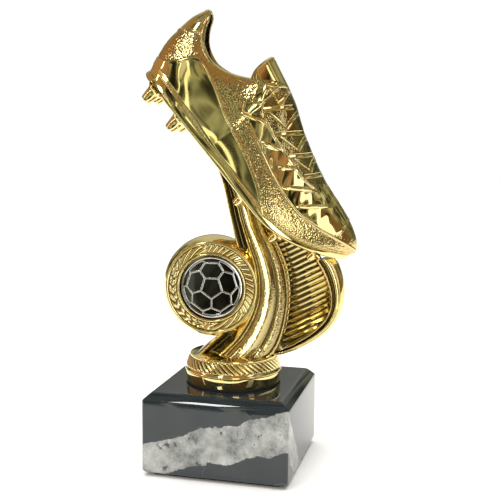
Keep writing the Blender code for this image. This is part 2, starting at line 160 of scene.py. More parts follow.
class Shape:
    """Collects grids and faces in millimetres, then becomes one mesh object."""

    def __init__(self):
        self.points = []
        self.faces = []
        self.slots = []
        self.values = {"stipple": [], "shade": []}
        self.count = 0

    def add_points(self, points, stipple=0.0, shade=0.0):
        points = np.asarray(points, float).reshape(-1, 3)
        first = self.count
        self.points.append(points)
        for key, value in (("stipple", stipple), ("shade", shade)):
            self.values[key].append(np.broadcast_to(np.asarray(value, float).reshape(-1), len(points)))
        self.count += len(points)
        return first

    def add_face(self, indices, slot=0):
        self.faces.append(tuple(int(i) for i in indices))
        self.slots.append(slot)

    def add_grid(self, points, wrap_u=False, wrap_v=False, stipple=0.0, shade=0.0, slot=0, flip=False):
        """A (U, V, 3) grid of quads; returns the index grid."""
        u, v = points.shape[:2]
        first = self.add_points(points, stipple, shade)
        index = first + np.arange(u * v).reshape(u, v)
        rows = index if not wrap_u else np.vstack([index, index[:1]])
        rows = rows if not wrap_v else np.hstack([rows, rows[:, :1]])
        a, b = rows[:-1, :-1].ravel(), rows[1:, :-1].ravel()
        c, d = rows[1:, 1:].ravel(), rows[:-1, 1:].ravel()
        quads = np.stack([a, d, c, b] if flip else [a, b, c, d], 1)
        self.faces.extend(map(tuple, quads.tolist()))
        self.slots.extend([slot] * len(quads))
        return index

    def add_tube(self, loops, stipple=0.0, shade=0.0):
        """Joins closed loops of points into one body, with a face on each end."""
        index = self.add_grid(np.asarray(loops), wrap_v=True, stipple=stipple, shade=shade)
        self.add_face(index[0])
        self.add_face(index[-1])

    def make(self, name, place, materials, sharp=None, weld=0.0):
        points = np.concatenate(self.points)
        matrix = np.array(place)
        points = (points @ matrix[:3, :3].T + matrix[:3, 3]) * MM
        mesh = bpy.data.meshes.new(name)
        mesh.from_pydata(points.tolist(), [], self.faces)
        for key, values in self.values.items():
            attribute = mesh.attributes.new(key, "FLOAT", "POINT")
            attribute.data.foreach_set("value", np.concatenate(values).astype(np.float32))
        mesh.polygons.foreach_set("material_index", np.array(self.slots, np.int32))
        for material in materials:
            mesh.materials.append(material)
        bm = bmesh.new()
        bm.from_mesh(mesh)
        if weld:
            bmesh.ops.remove_doubles(bm, verts=bm.verts, dist=weld * MM)
        bmesh.ops.recalc_face_normals(bm, faces=bm.faces)
        bm.to_mesh(mesh)
        bm.free()
        mesh.shade_smooth()
        if sharp:
            mesh.set_sharp_from_angle(angle=math.radians(sharp))
        return add_object(name, mesh)


def settle(obj, slot, *nodes):
    """Rides on the one body and stands for the CAD nodes it replaces; its slot argument is not used."""
    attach(obj, "root")
    if nodes:
        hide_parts(*nodes)
    return obj


def turned_grid(profile, segments, along_y=False):
    """(segments, len(profile), 3) grid of a (radius, height) profile turned about Z or Y."""
    profile = np.array(profile, float)
    angle = whole_turn(segments)
    radius, height = profile[:, 0], profile[:, 1]
    x = np.cos(angle)[:, None] * radius
    side = np.sin(angle)[:, None] * radius
    level = np.broadcast_to(height, x.shape)
    return np.stack([x, level, side] if along_y else [x, side, level], -1)


def rounded_profile(points, radius, steps=4):
    """Closed (r, h) outline with its corners rounded by radius; axis points are kept."""
    out = []
    count = len(points)
    for i in range(count):
        here = np.array(points[i], float)
        before = np.array(points[i - 1], float)
        after = np.array(points[(i + 1) % count], float)
        if here[0] < 1e-6:
            out.append(tuple(here))
            continue
        into, away = before - here, after - here
        cut = min(radius, 0.45 * np.linalg.norm(into), 0.45 * np.linalg.norm(away))
        start = here + into / np.linalg.norm(into) * cut
        end = here + away / np.linalg.norm(away) * cut
        for step in range(steps + 1):
            t = step / steps
            out.append(tuple((1 - t) ** 2 * start + 2 * t * (1 - t) * here + t * t * end))
    return out


# ---------------------------------------------------------------- materials

def new_material(name, base, metallic, roughness):
    material = bpy.data.materials.new(name)
    material.use_nodes = True
    tree = material.node_tree
    shader = tree.nodes["Principled BSDF"]
    shader.inputs["Base Color"].default_value = (*base, 1.0)
    shader.inputs["Metallic"].default_value = metallic
    shader.inputs["Roughness"].default_value = roughness
    coordinates = tree.nodes.new("ShaderNodeTexCoord")
    return material, tree, shader, coordinates.outputs["Object"]


def noise(tree, vector, scale, detail=2.0, rough=0.5):
    node = tree.nodes.new("ShaderNodeTexNoise")
    node.inputs["Scale"].default_value = scale
    node.inputs["Detail"].default_value = detail
    node.inputs["Roughness"].default_value = rough
    tree.links.new(vector, node.inputs["Vector"])
    return node.outputs["Fac"]


def pebbles(tree, vector, scale):
    """Rounded grains, 1 in the middle of each and falling outwards."""
    node = tree.nodes.new("ShaderNodeTexVoronoi")
    node.feature = "SMOOTH_F1"
    node.inputs["Scale"].default_value = scale
    node.inputs["Smoothness"].default_value = 0.25
    tree.links.new(vector, node.inputs["Vector"])
    return math_node(tree, "SUBTRACT", 1.0, node.outputs["Distance"])


def map_range(tree, value, low, high, to_low, to_high, kind="LINEAR"):
    node = tree.nodes.new("ShaderNodeMapRange")
    node.interpolation_type = kind
    tree.links.new(value, node.inputs["Value"])
    for key, number in (("From Min", low), ("From Max", high), ("To Min", to_low), ("To Max", to_high)):
        node.inputs[key].default_value = number
    return node.outputs["Result"]


def math_node(tree, operation, first, second=None):
    node = tree.nodes.new("ShaderNodeMath")
    node.operation = operation
    for socket, value in zip(node.inputs, (first, second)):
        if value is None:
            continue
        if isinstance(value, (int, float)):
            socket.default_value = value
        else:
            tree.links.new(value, socket)
    return node.outputs[0]


def colour_ramp(tree, value, stops):
    node = tree.nodes.new("ShaderNodeValToRGB")
    ramp = node.color_ramp
    while len(ramp.elements) < len(stops):
        ramp.elements.new(0.5)
    for element, (position, colour) in zip(ramp.elements, stops):
        element.position = position
        element.color = (*colour, 1.0)
    tree.links.new(value, node.inputs["Fac"])
    return node.outputs["Color"]


def add_bump(tree, shader, height, strength, distance):
    node = tree.nodes.new("ShaderNodeBump")
    node.inputs["Strength"].default_value = strength
    node.inputs["Distance"].default_value = distance
    tree.links.new(height, node.inputs["Height"])
    tree.links.new(node.outputs["Normal"], shader.inputs["Normal"])
    return node


GOLD_LIGHT = (0.92, 0.77, 0.38)
GOLD_DEEP = (0.84, 0.66, 0.27)
GOLD_DULL = (0.46, 0.33, 0.13)
# Near-black that the gold is mixed towards as painted shade in recesses
GOLD_PAINTED_SHADE = (0.10, 0.075, 0.03)
MIRROR_ROUGH = 0.045
GRAIN_PER_METRE = 1500.0       # how many of the stipple's grains fit in a metre
GRAIN_HEIGHT = 0.12            # of the bump's full height
WAVE_HEIGHT = 0.7
WAVE_STRETCH = 4.0             # how much longer the waves are along the boot than across it
GOLD_BUMP = 0.0008


def mix_colour(tree, share, first, second):
    """Goes from first, a socket, to second, a socket or a plain colour."""
    mix = tree.nodes.new("ShaderNodeMix")
    mix.data_type = "RGBA"
    tree.links.new(share, mix.inputs["Factor"])
    tree.links.new(first, mix.inputs["A"])
    if isinstance(second, tuple):
        mix.inputs["B"].default_value = (*second, 1.0)
    else:
        tree.links.new(second, mix.inputs["B"])
    return mix.outputs["Result"]


def mesh_value(tree, name):
    attribute = tree.nodes.new("ShaderNodeAttribute")
    attribute.attribute_name = name
    return attribute.outputs["Fac"]


def gold_material(name, smooth_rough=MIRROR_ROUGH):
    """Vacuum-metallised gold; the mesh says where it is stippled and where painted shade darkens it in
    recesses.
    """
    material, tree, shader, place = new_material(name, GOLD_LIGHT, 1.0, smooth_rough)
    stippled = mesh_value(tree, "stipple")
    tint = colour_ramp(tree, noise(tree, place, 45.0, 3.0), [(0.36, GOLD_DEEP), (0.60, GOLD_LIGHT)])
    tint = mix_colour(tree, math_node(tree, "MULTIPLY", stippled, 0.5), tint, GOLD_DULL)
    # Painted shade: the mesh's shade value darkens the gold towards near-black
    tint = mix_colour(tree, mesh_value(tree, "shade"), tint, GOLD_PAINTED_SHADE)
    tree.links.new(tint, shader.inputs["Base Color"])
    haze = map_range(tree, noise(tree, place, 210.0, 4.0), 0.35, 0.75, 0.0, 0.05)
    # Long shallow waves along the boot
    mapping = tree.nodes.new("ShaderNodeMapping")
    mapping.vector_type = "TEXTURE"
    mapping.inputs["Rotation"].default_value = (0.0, math.radians(BOOT_TILT), 0.0)
    mapping.inputs["Scale"].default_value = (WAVE_STRETCH, 1.0, 1.0)
    tree.links.new(place, mapping.inputs["Vector"])
    wave = math_node(tree, "MULTIPLY", noise(tree, mapping.outputs["Vector"], 90.0, 1.0), WAVE_HEIGHT)
    grain = math_node(tree, "MULTIPLY", pebbles(tree, place, GRAIN_PER_METRE), stippled)
    rough = math_node(tree, "ADD", haze, smooth_rough)
    rough = math_node(tree, "ADD", rough, math_node(tree, "MULTIPLY", stippled, 0.06))
    tree.links.new(rough, shader.inputs["Roughness"])
    height = math_node(tree, "ADD", wave, math_node(tree, "MULTIPLY", grain, GRAIN_HEIGHT))
    add_bump(tree, shader, height, 1.0, GOLD_BUMP)
    return material


def plain_material(name, dark, light, rough, scale, metallic=0.0, bump_size=0.0002):
    """A mottled finish between two colours, with a fine grain; scale is the grain's noise scale."""
    material, tree, shader, place = new_material(name, light, metallic, rough)
    grain = noise(tree, place, scale, 4.0)
    tint = colour_ramp(tree, grain, [(0.3, dark), (0.7, light)])
    tree.links.new(tint, shader.inputs["Base Color"])
    spread = map_range(tree, noise(tree, place, scale * 0.4, 3.0), 0.3, 0.7, rough * 0.8, rough * 1.2)
    tree.links.new(spread, shader.inputs["Roughness"])
    add_bump(tree, shader, grain, 0.6, bump_size)
    return material


BAND_HEIGHT = 14.0             # of the pale band's middle at the front face's centre, above the block's foot
BAND_RISE = 0.30               # per millimetre to the right
BAND_FALL = 1.1                # per millimetre towards the back
BAND_EDGES = (0.0072, 0.0076)  # metres from its middle plane where the band stops
BAND_WARP = 0.012


def marble_material():
    """Black marble: one broad pale band on a slanted plane, dark flecks in it, and thin white veins."""
    material, tree, shader, place = new_material("black_marble", (0.02, 0.022, 0.026), 0.0, 0.04)
    links = tree.links
    shader.inputs["IOR"].default_value = 1.62
    split = tree.nodes.new("ShaderNodeSeparateXYZ")
    links.new(place, split.inputs["Vector"])
    x, y, z = split.outputs
    # Height above the band's middle plane, which rises to the right and falls towards the back
    plane = math_node(tree, "SUBTRACT", z, (BLOCK_BOTTOM + BAND_HEIGHT) * MM)
    plane = math_node(tree, "SUBTRACT", plane, math_node(tree, "MULTIPLY", x, BAND_RISE))
    behind = math_node(tree, "ADD", y, BLOCK_HALF * MM)
    plane = math_node(tree, "ADD", plane, math_node(tree, "MULTIPLY", behind, BAND_FALL))
    warp = math_node(tree, "SUBTRACT", noise(tree, place, 45.0, 6.0, 0.62), 0.5)
    plane = math_node(tree, "ADD", plane, math_node(tree, "MULTIPLY", warp, BAND_WARP))
    away = math_node(tree, "ABSOLUTE", plane)
    band = map_range(tree, away, *BAND_EDGES, 1.0, 0.0, "SMOOTHSTEP")
    flecks = map_range(tree, noise(tree, place, 170.0, 5.0, 0.68), 0.595, 0.64, 1.0, 0.10)
    thin = noise(tree, place, 26.0, 3.5, 0.5)
    thin = math_node(tree, "ABSOLUTE", math_node(tree, "SUBTRACT", thin, 0.5))
    thin = map_range(tree, thin, 0.0, 0.0045, 1.0, 0.0)
    where = map_range(tree, noise(tree, place, 24.0, 1.0), 0.50, 0.64, 0.0, 0.8)
    thin = math_node(tree, "MULTIPLY", thin, where)
    pale = colour_ramp(tree, noise(tree, place, 120.0, 8.0, 0.7), [
        (0.32, (0.07, 0.075, 0.075)), (0.5, (0.25, 0.26, 0.25)), (0.70, (0.44, 0.45, 0.43)),
    ])
    dark = colour_ramp(tree, noise(tree, place, 90.0, 6.0, 0.6), [
        (0.3, (0.008, 0.012, 0.016)), (0.8, (0.017, 0.023, 0.028)),
    ])
    amount = math_node(tree, "MULTIPLY", band, flecks)
    amount = math_node(tree, "MAXIMUM", amount, thin)
    links.new(mix_colour(tree, amount, dark, pale), shader.inputs["Base Color"])
    polish = map_range(tree, noise(tree, place, 400.0, 3.0), 0.4, 0.7, 0.03, 0.08)
    links.new(polish, shader.inputs["Roughness"])
    add_bump(tree, shader, amount, 0.15, 0.0001)
    return material


gold = gold_material("gold_chrome")
gold_lining = gold_material("gold_lining", smooth_rough=0.16)
marble = marble_material()
rubber = plain_material("black_rubber", (0.004, 0.004, 0.004), (0.014, 0.014, 0.014), 0.6, 900.0)
felt = plain_material("black_felt", (0.006, 0.006, 0.007), (0.03, 0.03, 0.033), 0.95, 1800.0)
steel = plain_material("zinc_steel", (0.42, 0.43, 0.45), (0.66, 0.67, 0.69), 0.3, 300.0, 1.0)
foam = plain_material("white_foam", (0.7, 0.7, 0.68), (0.85, 0.85, 0.83), 0.9, 1200.0)
ink = plain_material("insert_black", (0.002, 0.002, 0.002), (0.006, 0.005, 0.003), 0.06, 500.0, 0.0, 0.00002)
silver = plain_material("insert_silver", (0.55, 0.55, 0.56), (0.78, 0.78, 0.79), 0.16, 400.0, 1.0)


# ---------------------------------------------------------------- marble base, felt and gasket

def square_loop(half, corner, z, steps=5):
    """A square with rounded corners."""
    loop = []
    near = half - corner
    for sx, sy, start in ((1, -1, -90), (1, 1, 0), (-1, 1, 90), (-1, -1, 180)):
        for step in range(steps + 1):
            angle = math.radians(start + 90.0 * step / steps)
            loop.append((sx * near + corner * math.cos(angle), sy * near + corner * math.sin(angle), z))
    return loop


def round_loop(radius, z, steps=5):
    """A circle with as many points as square_loop, in the same order."""
    loop = []
    each = 90.0 / (steps + 1)
    for k in range(4 * (steps + 1)):
        angle = math.radians((k - steps / 2) * each - 45.0)
        loop.append((radius * math.cos(angle), radius * math.sin(angle), z))
    return loop


BLOCK_CHAMFER = 3.2
BLOCK_CORNER = 1.3
BLOCK_SOFT = 0.34              # rounding of the chamfer's arrises
BLOCK_STEPS = 11
BOLT_BORE = 3.5
COUNTERBORE = 11.0
COUNTERBORE_DEPTH = 12.0


def build_block():
    """The chamfered block, its arrises slightly rounded, bored and counterbored for its bolt."""
    low, high, half = BLOCK_BOTTOM, BLOCK_TOP, BLOCK_HALF
    edge = high - BLOCK_CHAMFER
    top = half - BLOCK_CHAMFER
    squares = [
        (half - 5.0, 1.0, low), (half - 1.5, BLOCK_CORNER, low), (half - 0.9, BLOCK_CORNER, low + 0.15),
        (half - 0.25, BLOCK_CORNER, low + 0.8), (half, BLOCK_CORNER, low + 1.5),
        (half, BLOCK_CORNER, low + 2.2),
        (half, BLOCK_CORNER, edge - BLOCK_SOFT - 0.6), (half, BLOCK_CORNER, edge - BLOCK_SOFT),
        (half - BLOCK_SOFT * 0.4, BLOCK_CORNER, edge + BLOCK_SOFT),
        (top + BLOCK_SOFT, 0.6, high - BLOCK_SOFT * 1.2), (top - BLOCK_SOFT, 0.5, high),
        (top - BLOCK_SOFT - 0.6, 0.5, high),
    ]
    circles = [
        (BOLT_BORE, high), (BOLT_BORE, low + COUNTERBORE_DEPTH),
        (COUNTERBORE, low + COUNTERBORE_DEPTH), (COUNTERBORE, low),
    ]
    loops = [round_loop(*level, BLOCK_STEPS) for level in circles]
    loops += [square_loop(*level, BLOCK_STEPS) for level in squares]
    shape = Shape()
    shape.add_grid(np.array(loops), wrap_u=True, wrap_v=True)
    block = shape.make("marble_block", WORLD, [marble], sharp=40)
    settle(block, "marble", "marble_base")


def build_pad():
    """A square felt sheet with soft edges, up to the marble's underside."""
    low, high = pad_low.z / MM, BLOCK_BOTTOM
    half = pad_high.x / MM
    soft = 0.3
    levels = [
        (half - soft, 2.0, low), (half, 2.2, low + 0.25), (half, 2.2, high - 0.25), (half - soft, 2.0, high),
    ]
    shape = Shape()
    shape.add_tube([square_loop(*level) for level in levels])
    settle(shape.make("felt_sheet", WORLD, [felt], sharp=60), "felt", "felt_pad")


GASKET_RADIUS = 19.75
GASKET_TOP = 0.72


def build_gasket():
    """A thin ring between the marble and the foot."""
    shape = Shape()
    low = 0.02
    corners = [(BOLT_BORE, low), (GASKET_RADIUS, low), (GASKET_RADIUS, GASKET_TOP), (BOLT_BORE, GASKET_TOP)]
    profile = rounded_profile(corners, 0.15)
    shape.add_grid(turned_grid(profile, 128), wrap_u=True, wrap_v=True)
    settle(shape.make("gasket_ring", FIGURE, [rubber], sharp=50), "black_rubber", "foot_gasket")


# ---------------------------------------------------------------- foot

ROPE_RIBS = 50
ROPE_SLANT = 2.0               # ribs that one rib crosses on its way up
ROPE_LOW = 6.9
ROPE_HIGH = 11.2
ROPE_RADIUS = 19.6             # at its lower edge
ROPE_TAPER = 1.55
ROPE_STEPS = 26
ROPE_INSIDE = 17.0             # the ribs are outside this radius
FOOT_SEGMENTS = 1000
FOOT_TOP = 12.0
NUT_POCKET = 6.2
FOOT_BOSS = 8.2


def build_foot():
    """Plain band, a fine lip, a rope of slanted ribs on a cone, and the top edge."""
    outline = [
        (17.6, 0.75), (19.7, 0.75), (19.85, 0.95), (19.85, 5.0), (20.05, 5.15), (20.25, 5.45),
        (20.25, 5.8), (20.1, 6.1), (19.8, 6.3), (19.75, 6.7), (ROPE_RADIUS, ROPE_LOW),
    ]
    for step in range(1, ROPE_STEPS + 1):
        t = step / ROPE_STEPS
        outline.append((ROPE_RADIUS - ROPE_TAPER * t ** 1.2, ROPE_LOW + (ROPE_HIGH - ROPE_LOW) * t))
    outline += [(18.15, 11.3), (18.2, 11.55), (18.1, 11.85), (17.7, FOOT_TOP), (12.0, FOOT_TOP)]
    # The nut's pocket, the boss round the bolt, and the hollow under the top plate
    outline += [(NUT_POCKET, FOOT_TOP), (NUT_POCKET, 6.4), (BOLT_BORE, 6.4), (BOLT_BORE, 1.4)]
    outline += [(FOOT_BOSS, 1.4), (FOOT_BOSS, 9.8), (16.0, 9.8)]
    grid = turned_grid(outline, FOOT_SEGMENTS)
    height = grid[..., 2]
    angle = np.arctan2(grid[..., 1], grid[..., 0])
    radius = np.hypot(grid[..., 0], grid[..., 1])
    t = (height - ROPE_LOW) / (ROPE_HIGH - ROPE_LOW)
    phase = angle * ROPE_RIBS / (2 * np.pi) + ROPE_SLANT * t
    rib = np.abs(np.sin(np.pi * phase)) ** 0.7
    window = smooth(0.0, 0.12, t) * smooth(1.0, 0.88, t) * (radius > ROPE_INSIDE)
    relief = window * (0.62 * rib - 0.34)
    outward = np.stack([np.cos(angle), np.sin(angle), 0.25 * np.ones_like(angle)], -1)
    shape = Shape()
    # Painted shade in the valleys between the rope's ribs
    painted_shade = window * smooth(0.75, 0.2, rib)
    shape.add_grid(grid + outward * relief[..., None], wrap_u=True, wrap_v=True, shade=painted_shade.ravel())
    settle(shape.make("foot_ring", FIGURE, [gold], sharp=50), "gold_plated_plastic", "foot_collar")


# ---------------------------------------------------------------- column

# Rows from the foot to the sole: left edge x and z, right edge x and z, half depth
COLUMN_ROWS = [
    (-15.6, 11.2, 14.2, 10.4, 14.0),
    (-10.6, 16.0, 18.2, 13.6, 11.6),
    (-4.6, 21.4, 21.2, 19.6, 10.0),
    (1.6, 30.0, 23.2, 29.0, 9.0),
    (4.4, 39.5, 23.8, 38.0, 8.8),
    (3.8, 49.5, 22.4, 48.0, 8.8),
    (0.9, 60.0, 18.6, 57.6, 8.9),
    (-1.7, 71.0, 15.4, 62.6, 8.9),
    (-4.4, 83.0, 14.1, 65.6, 8.7),
    (-8.0, 92.5, 13.7, 67.1, 8.4),
]
# Depth as a share of the half depth, over the share of the width from the left edge
COLUMN_SECTION = [
    (0.0, 0.30), (0.012, 0.46), (0.04, 0.60), (0.07, 0.57), (0.15, 0.36), (0.23, 0.44), (0.285, 0.70),
    (0.31, 0.80), (0.33, 0.80), (0.35, 0.72), (0.37, 0.80), (0.39, 0.84), (0.41, 0.80), (0.44, 0.93),
    (0.47, 0.99), (0.50, 1.0), (0.60, 0.955), (0.655, 0.88), (0.70, 0.785), (0.72, 0.75), (0.74, 0.765),
    (0.78, 0.80), (0.82, 0.79), (0.88, 0.72), (0.915, 0.65), (0.925, 0.62), (0.94, 0.65), (0.965, 0.64),
    (0.985, 0.52), (1.0, 0.30),
]
STIPPLE_EDGE = 0.385
# How far painted shade darkens the gold in the column's recesses, over the same share of the width
COLUMN_SHADE = [
    (0.0, 0.6), (0.03, 0.0), (0.06, 0.1), (0.10, 0.85), (0.20, 0.75), (0.26, 0.15), (0.30, 0.0), (0.33, 0.1),
    (0.35, 0.7), (0.37, 0.1), (0.39, 0.1), (0.41, 0.7), (0.45, 0.5), (0.49, 0.0), (0.59, 0.0), (0.64, 0.3),
    (0.72, 0.6), (0.76, 0.3), (0.82, 0.15), (0.88, 0.35), (0.925, 0.75), (0.95, 0.1), (0.97, 0.1),
    (1.0, 0.6),
]
COLUMN_STEPS = 22              # rows between two control rows
COLUMN_ACROSS = 150
STIPPLE_CELL = 0.6
COLUMN_STIPPLE = 0.08
CREST = 0.55                   # share of the width where the first ribbon is polished
NECK = [(0.0, 11.8), (17.2, 11.8), (17.0, 12.1), (12.0, 12.5), (9.0, 13.4), (0.0, 13.8)]


def between_edges(rows, share):
    """x and z at shares of the way across rows of left x and z, right x and z."""
    x = rows[:, 0:1] + (rows[:, 2:3] - rows[:, 0:1]) * share
    z = rows[:, 1:2] + (rows[:, 3:4] - rows[:, 1:2]) * share
    return x, z


def build_column():
    """The fluted, ribboned column and the low dome that it stands on."""
    rows = smooth_path(COLUMN_ROWS, COLUMN_STEPS)
    share = np.linspace(0.0, 1.0, COLUMN_ACROSS)
    part = curve(COLUMN_SECTION, share)
    both = np.concatenate([share, share[::-1]])
    depth = np.concatenate([-part, part[::-1]])
    x, z = between_edges(rows, both)
    y = rows[:, 4:5] * depth
    grid = np.stack([x, y, z], -1)
    mask = smooth(STIPPLE_EDGE, STIPPLE_EDGE + 0.02, both)
    mask = mask * (smooth(1.0, 0.985, both) * (0.62 + 0.38 * smooth(0.72, 0.76, both)))
    mask = np.broadcast_to(mask * (1.0 - 0.65 * bump(both - CREST, 0.06)), x.shape)
    normal = grid_normals(grid, False, True)
    outward = np.sign(normal[..., 1:2] * grid[..., 1:2] + 1e-9)
    stipple = lattice_noise(grid, STIPPLE_CELL) - 0.5
    grid = grid + normal * outward * (mask * COLUMN_STIPPLE * stipple)[..., None]
    shape = Shape()
    # Painted shade in the column's flutes, grooves and valleys
    shade = np.broadcast_to(curve(COLUMN_SHADE, both), x.shape)
    shape.add_tube(grid, mask.ravel(), shade.ravel())
    shape.add_grid(turned_grid(NECK, 96), wrap_u=True)
    column = shape.make("column_swoosh", FIGURE, [gold], sharp=50, weld=0.001)
    settle(column, "gold_plated_plastic", "column_front_shell", "column_rear_shell")


# ---------------------------------------------------------------- crescent rim and ribbed web

# Stations along the rim: inner edge x and z, outer edge x and z
RIM_STATIONS = [
    (20.9, 15.0, 19.8, 11.9), (27.0, 18.2, 28.6, 15.2), (32.6, 22.0, 35.7, 19.2),
    (37.4, 26.6, 40.6, 23.4), (40.0, 31.4, 44.2, 29.2), (40.5, 36.8, 46.0, 36.2),
    (39.2, 42.6, 45.8, 43.6), (36.9, 48.0, 43.6, 50.4), (34.3, 52.2, 41.2, 53.0),
]
RIM_ROOT = (14.0, 13.6, 14.2, 12.1)
# Share of the half depth, over the share of the width from the inner edge
RIM_SECTION = [
    (0.0, 0.72), (0.02, 0.90), (0.06, 0.96), (0.12, 0.95), (0.16, 0.80), (0.20, 0.58), (0.29, 0.56),
    (0.34, 0.72), (0.38, 0.95), (0.43, 1.0), (0.56, 0.99), (0.60, 0.93), (0.64, 0.91), (0.68, 0.93),
    (0.74, 0.88), (0.86, 0.72), (0.95, 0.50), (0.99, 0.24), (1.0, 0.0),
]
RIM_HALF_DEPTH = 5.2
RIM_STEPS = 18                 # rows between two stations
RIM_ACROSS = 70


def build_rim():
    """The grooved band round the web, alike on both sides."""
    stations = smooth_path([RIM_ROOT] + RIM_STATIONS, RIM_STEPS)
    share = np.linspace(0.0, 1.0, RIM_ACROSS)
    depth = curve(RIM_SECTION, share)
    both = np.concatenate([share, share[-2::-1]])
    level = np.concatenate([-depth, depth[-2::-1]])
    x, z = between_edges(stations, both)
    y = np.broadcast_to(RIM_HALF_DEPTH * level, x.shape)
    # Painted shade darkens the rim's groove
    groove = np.broadcast_to(0.85 * smooth(0.14, 0.19, both) * smooth(0.37, 0.32, both), x.shape)
    shape = Shape()
    shape.add_tube(np.stack([x, y, z], -1), shade=groove.ravel())
    rim = shape.make("crescent_band", FIGURE, [gold], sharp=45)
    settle(rim, "gold_plated_plastic", "crescent_rim")


SOLE_SPRING_START = 72.0
SOLE_SPRING_RATE = 0.0104


def sole_bottom(a):
    return SOLE_SPRING_RATE * np.maximum(0.0, np.asarray(a, float) - SOLE_SPRING_START) ** 2


def to_boot(x, z):
    """Boot-frame a and b of a point in the figure's middle plane."""
    tilt = math.radians(BOOT_TILT)
    dx, dz = x - BOOT_HEEL[0], z - BOOT_HEEL[1]
    return dx * math.cos(tilt) - dz * math.sin(tilt), dx * math.sin(tilt) + dz * math.cos(tilt)


BAR_SLOPE = math.radians(27.0)
BAR_ALONG = np.array([math.cos(BAR_SLOPE), math.sin(BAR_SLOPE)])
BAR_UP = np.array([-math.sin(BAR_SLOPE), math.cos(BAR_SLOPE)])
BAR_PITCH = 2.42               # between bars, measured up the web
BAR_WIDTH = 1.95
BAR_RISE = 1.05
BAR_START = (16.0, 10.0)       # x and z where the bars are counted from
BAR_PEAK = 0.2                 # where a bar's edge stands across it, from -0.5 to 0.5
WEB_FACE = 1.55
WEB_LOW = 15.5
# Painted shade on the web's flat face between the bars
WEB_SHADE = 0.65
WEB_PLACES = np.linspace(10.0, 46.0, 721)      # x tried for the web's edges
WEB_LEVELS = np.linspace(16.0, 66.6, 60)       # z of the outline's points
BAR_NUMBERS = range(-3, 26)
BAR_PLACES = np.linspace(-5.0, 50.0, 1101)     # places tried along a bar for its ends
BAR_SHORTEST = 25              # of those places
# Across a bar, bottom to top: offset up the web, rise above its face, and how far painted shade darkens the
# gold
BAR_SECTION = [
    (-0.5, -0.3, 0.9), (-0.5, 0.30, 0.55), (-0.42, 0.42, 0.45), (0.16, 0.88, 0.15), (0.24, 1.0, 0.0),
    (0.34, 0.98, 0.0), (0.5, 0.1, 0.7), (0.5, -0.3, 0.9),
]


def web_room(x, z, margin):
    """True inside the web's outline, margin millimetres from each edge."""
    columns = smooth_path(COLUMN_ROWS, 12)
    stations = smooth_path(RIM_STATIONS, 12)
    left = np.interp(z, columns[:, 3], columns[:, 2])
    right = np.interp(z, stations[:, 1], stations[:, 0])
    a, b = to_boot(x, z)
    return (x > left + margin) & (x < right - margin) & (b < sole_bottom(a) - margin) & (z > WEB_LOW)


def web_outline():
    """x and z round the web, a little past the edges of its neighbours."""
    left, right = [], []
    for z in WEB_LEVELS:
        inside = WEB_PLACES[web_room(WEB_PLACES, np.full_like(WEB_PLACES, z), -0.5)]
        if len(inside) > 3:
            left.append((inside[0], z))
            right.append((inside[-1], z))
    return left[::-1] + right


def add_bar(shape, start, first, last, side):
    """One bar on one face of the web, from first to last along the slope, pointed at its left end."""
    loops = []
    ends = [(first, 0.3, 0.3), (first + 1.5, 0.95, 1.0), (last - 0.5, 1.0, 1.0), (last, 0.9, 0.4)]
    for at, narrow, level in ends:
        loop = []
        for across, rise, _ in BAR_SECTION:
            point = start + at * BAR_ALONG + BAR_UP * (BAR_PEAK + (across - BAR_PEAK) * narrow) * BAR_WIDTH
            height = WEB_FACE + BAR_RISE * (rise if rise < 0 else rise * level)
            loop.append((point[0], side * height, point[1]))
        loops.append(loop)
    # Each bar carries the section's painted shade along its length
    shape.add_tube(loops, shade=[bar_shade for _, _, bar_shade in BAR_SECTION] * len(loops))


def build_web():
    """The flat web, and the slanted bars that stand on both of its faces."""
    shape = Shape()
    outline = web_outline()
    # The flat face is painted with shade between the bars
    shape.add_tube([[(x, y, z) for x, z in outline] for y in (-WEB_FACE, WEB_FACE)], shade=WEB_SHADE)
    for k in BAR_NUMBERS:
        start = np.array([BAR_START[0], BAR_START[1] + k * BAR_PITCH])
        line = start + BAR_PLACES[:, None] * BAR_ALONG
        inside = BAR_PLACES[web_room(line[:, 0], line[:, 1], 0.25)]
        if len(inside) < BAR_SHORTEST:
            continue
        for side in (-1.0, 1.0):
            add_bar(shape, start, inside[0], inside[-1], side)
    web = shape.make("ribbed_panel", FIGURE, [gold], sharp=25)
    settle(web, "gold_plated_plastic", "ribbed_web")


# ---------------------------------------------------------------- medallion

RING_CENTRE = (-8.3, 40.1)
RING = FIGURE @ Matrix.Translation((RING_CENTRE[0], 0, RING_CENTRE[1]))
RING_RADIUS = 21.3
FACE = 7.6
BAND_INNER = 14.5
BAND_OUTER = 17.9
BAND_DROP = 0.55
BAND_STEPS = 34
BAND_RELIEF = 0.5
RING_SEGMENTS = 900
# Strokes and leaves in a whole turn, were each to go all the way round
SHORT_STROKES = 46
LONG_STROKES = 20
LEAVES = 30


def band_relief(angle, radius):
    """Relief on the ring's face, 0 to 1: leaves on the left arc, slanted strokes on the rest."""
    t = (radius - BAND_INNER) / (BAND_OUTER - BAND_INNER)
    middle = np.abs(t - 0.5) * 2.0
    degrees = np.degrees(angle) % 360.0
    left = smooth(150.0, 158.0, degrees) * smooth(262.0, 254.0, degrees)
    turns = angle / (2 * np.pi)
    short = np.abs(np.sin(np.pi * (SHORT_STROKES * turns + 0.95 * t))) ** 0.7
    long_part = smooth(262.0, 275.0, degrees) * smooth(330.0, 315.0, degrees)
    long_part = np.maximum(long_part, smooth(95.0, 108.0, degrees) * smooth(158.0, 148.0, degrees))
    long = np.abs(np.sin(np.pi * (LONG_STROKES * turns + 1.7 * t))) ** 0.6
    strokes = short * (1 - long_part) + long * long_part
    leaf = np.abs(np.sin(np.pi * (LEAVES * turns + 0.55 * middle)))
    leaf = leaf * (0.55 + 0.45 * np.cos(np.pi * middle * 1.5) ** 2)
    pattern = strokes * (1 - left) + leaf * left
    return pattern * smooth(0.0, 0.10, t) * smooth(1.0, 0.90, t)


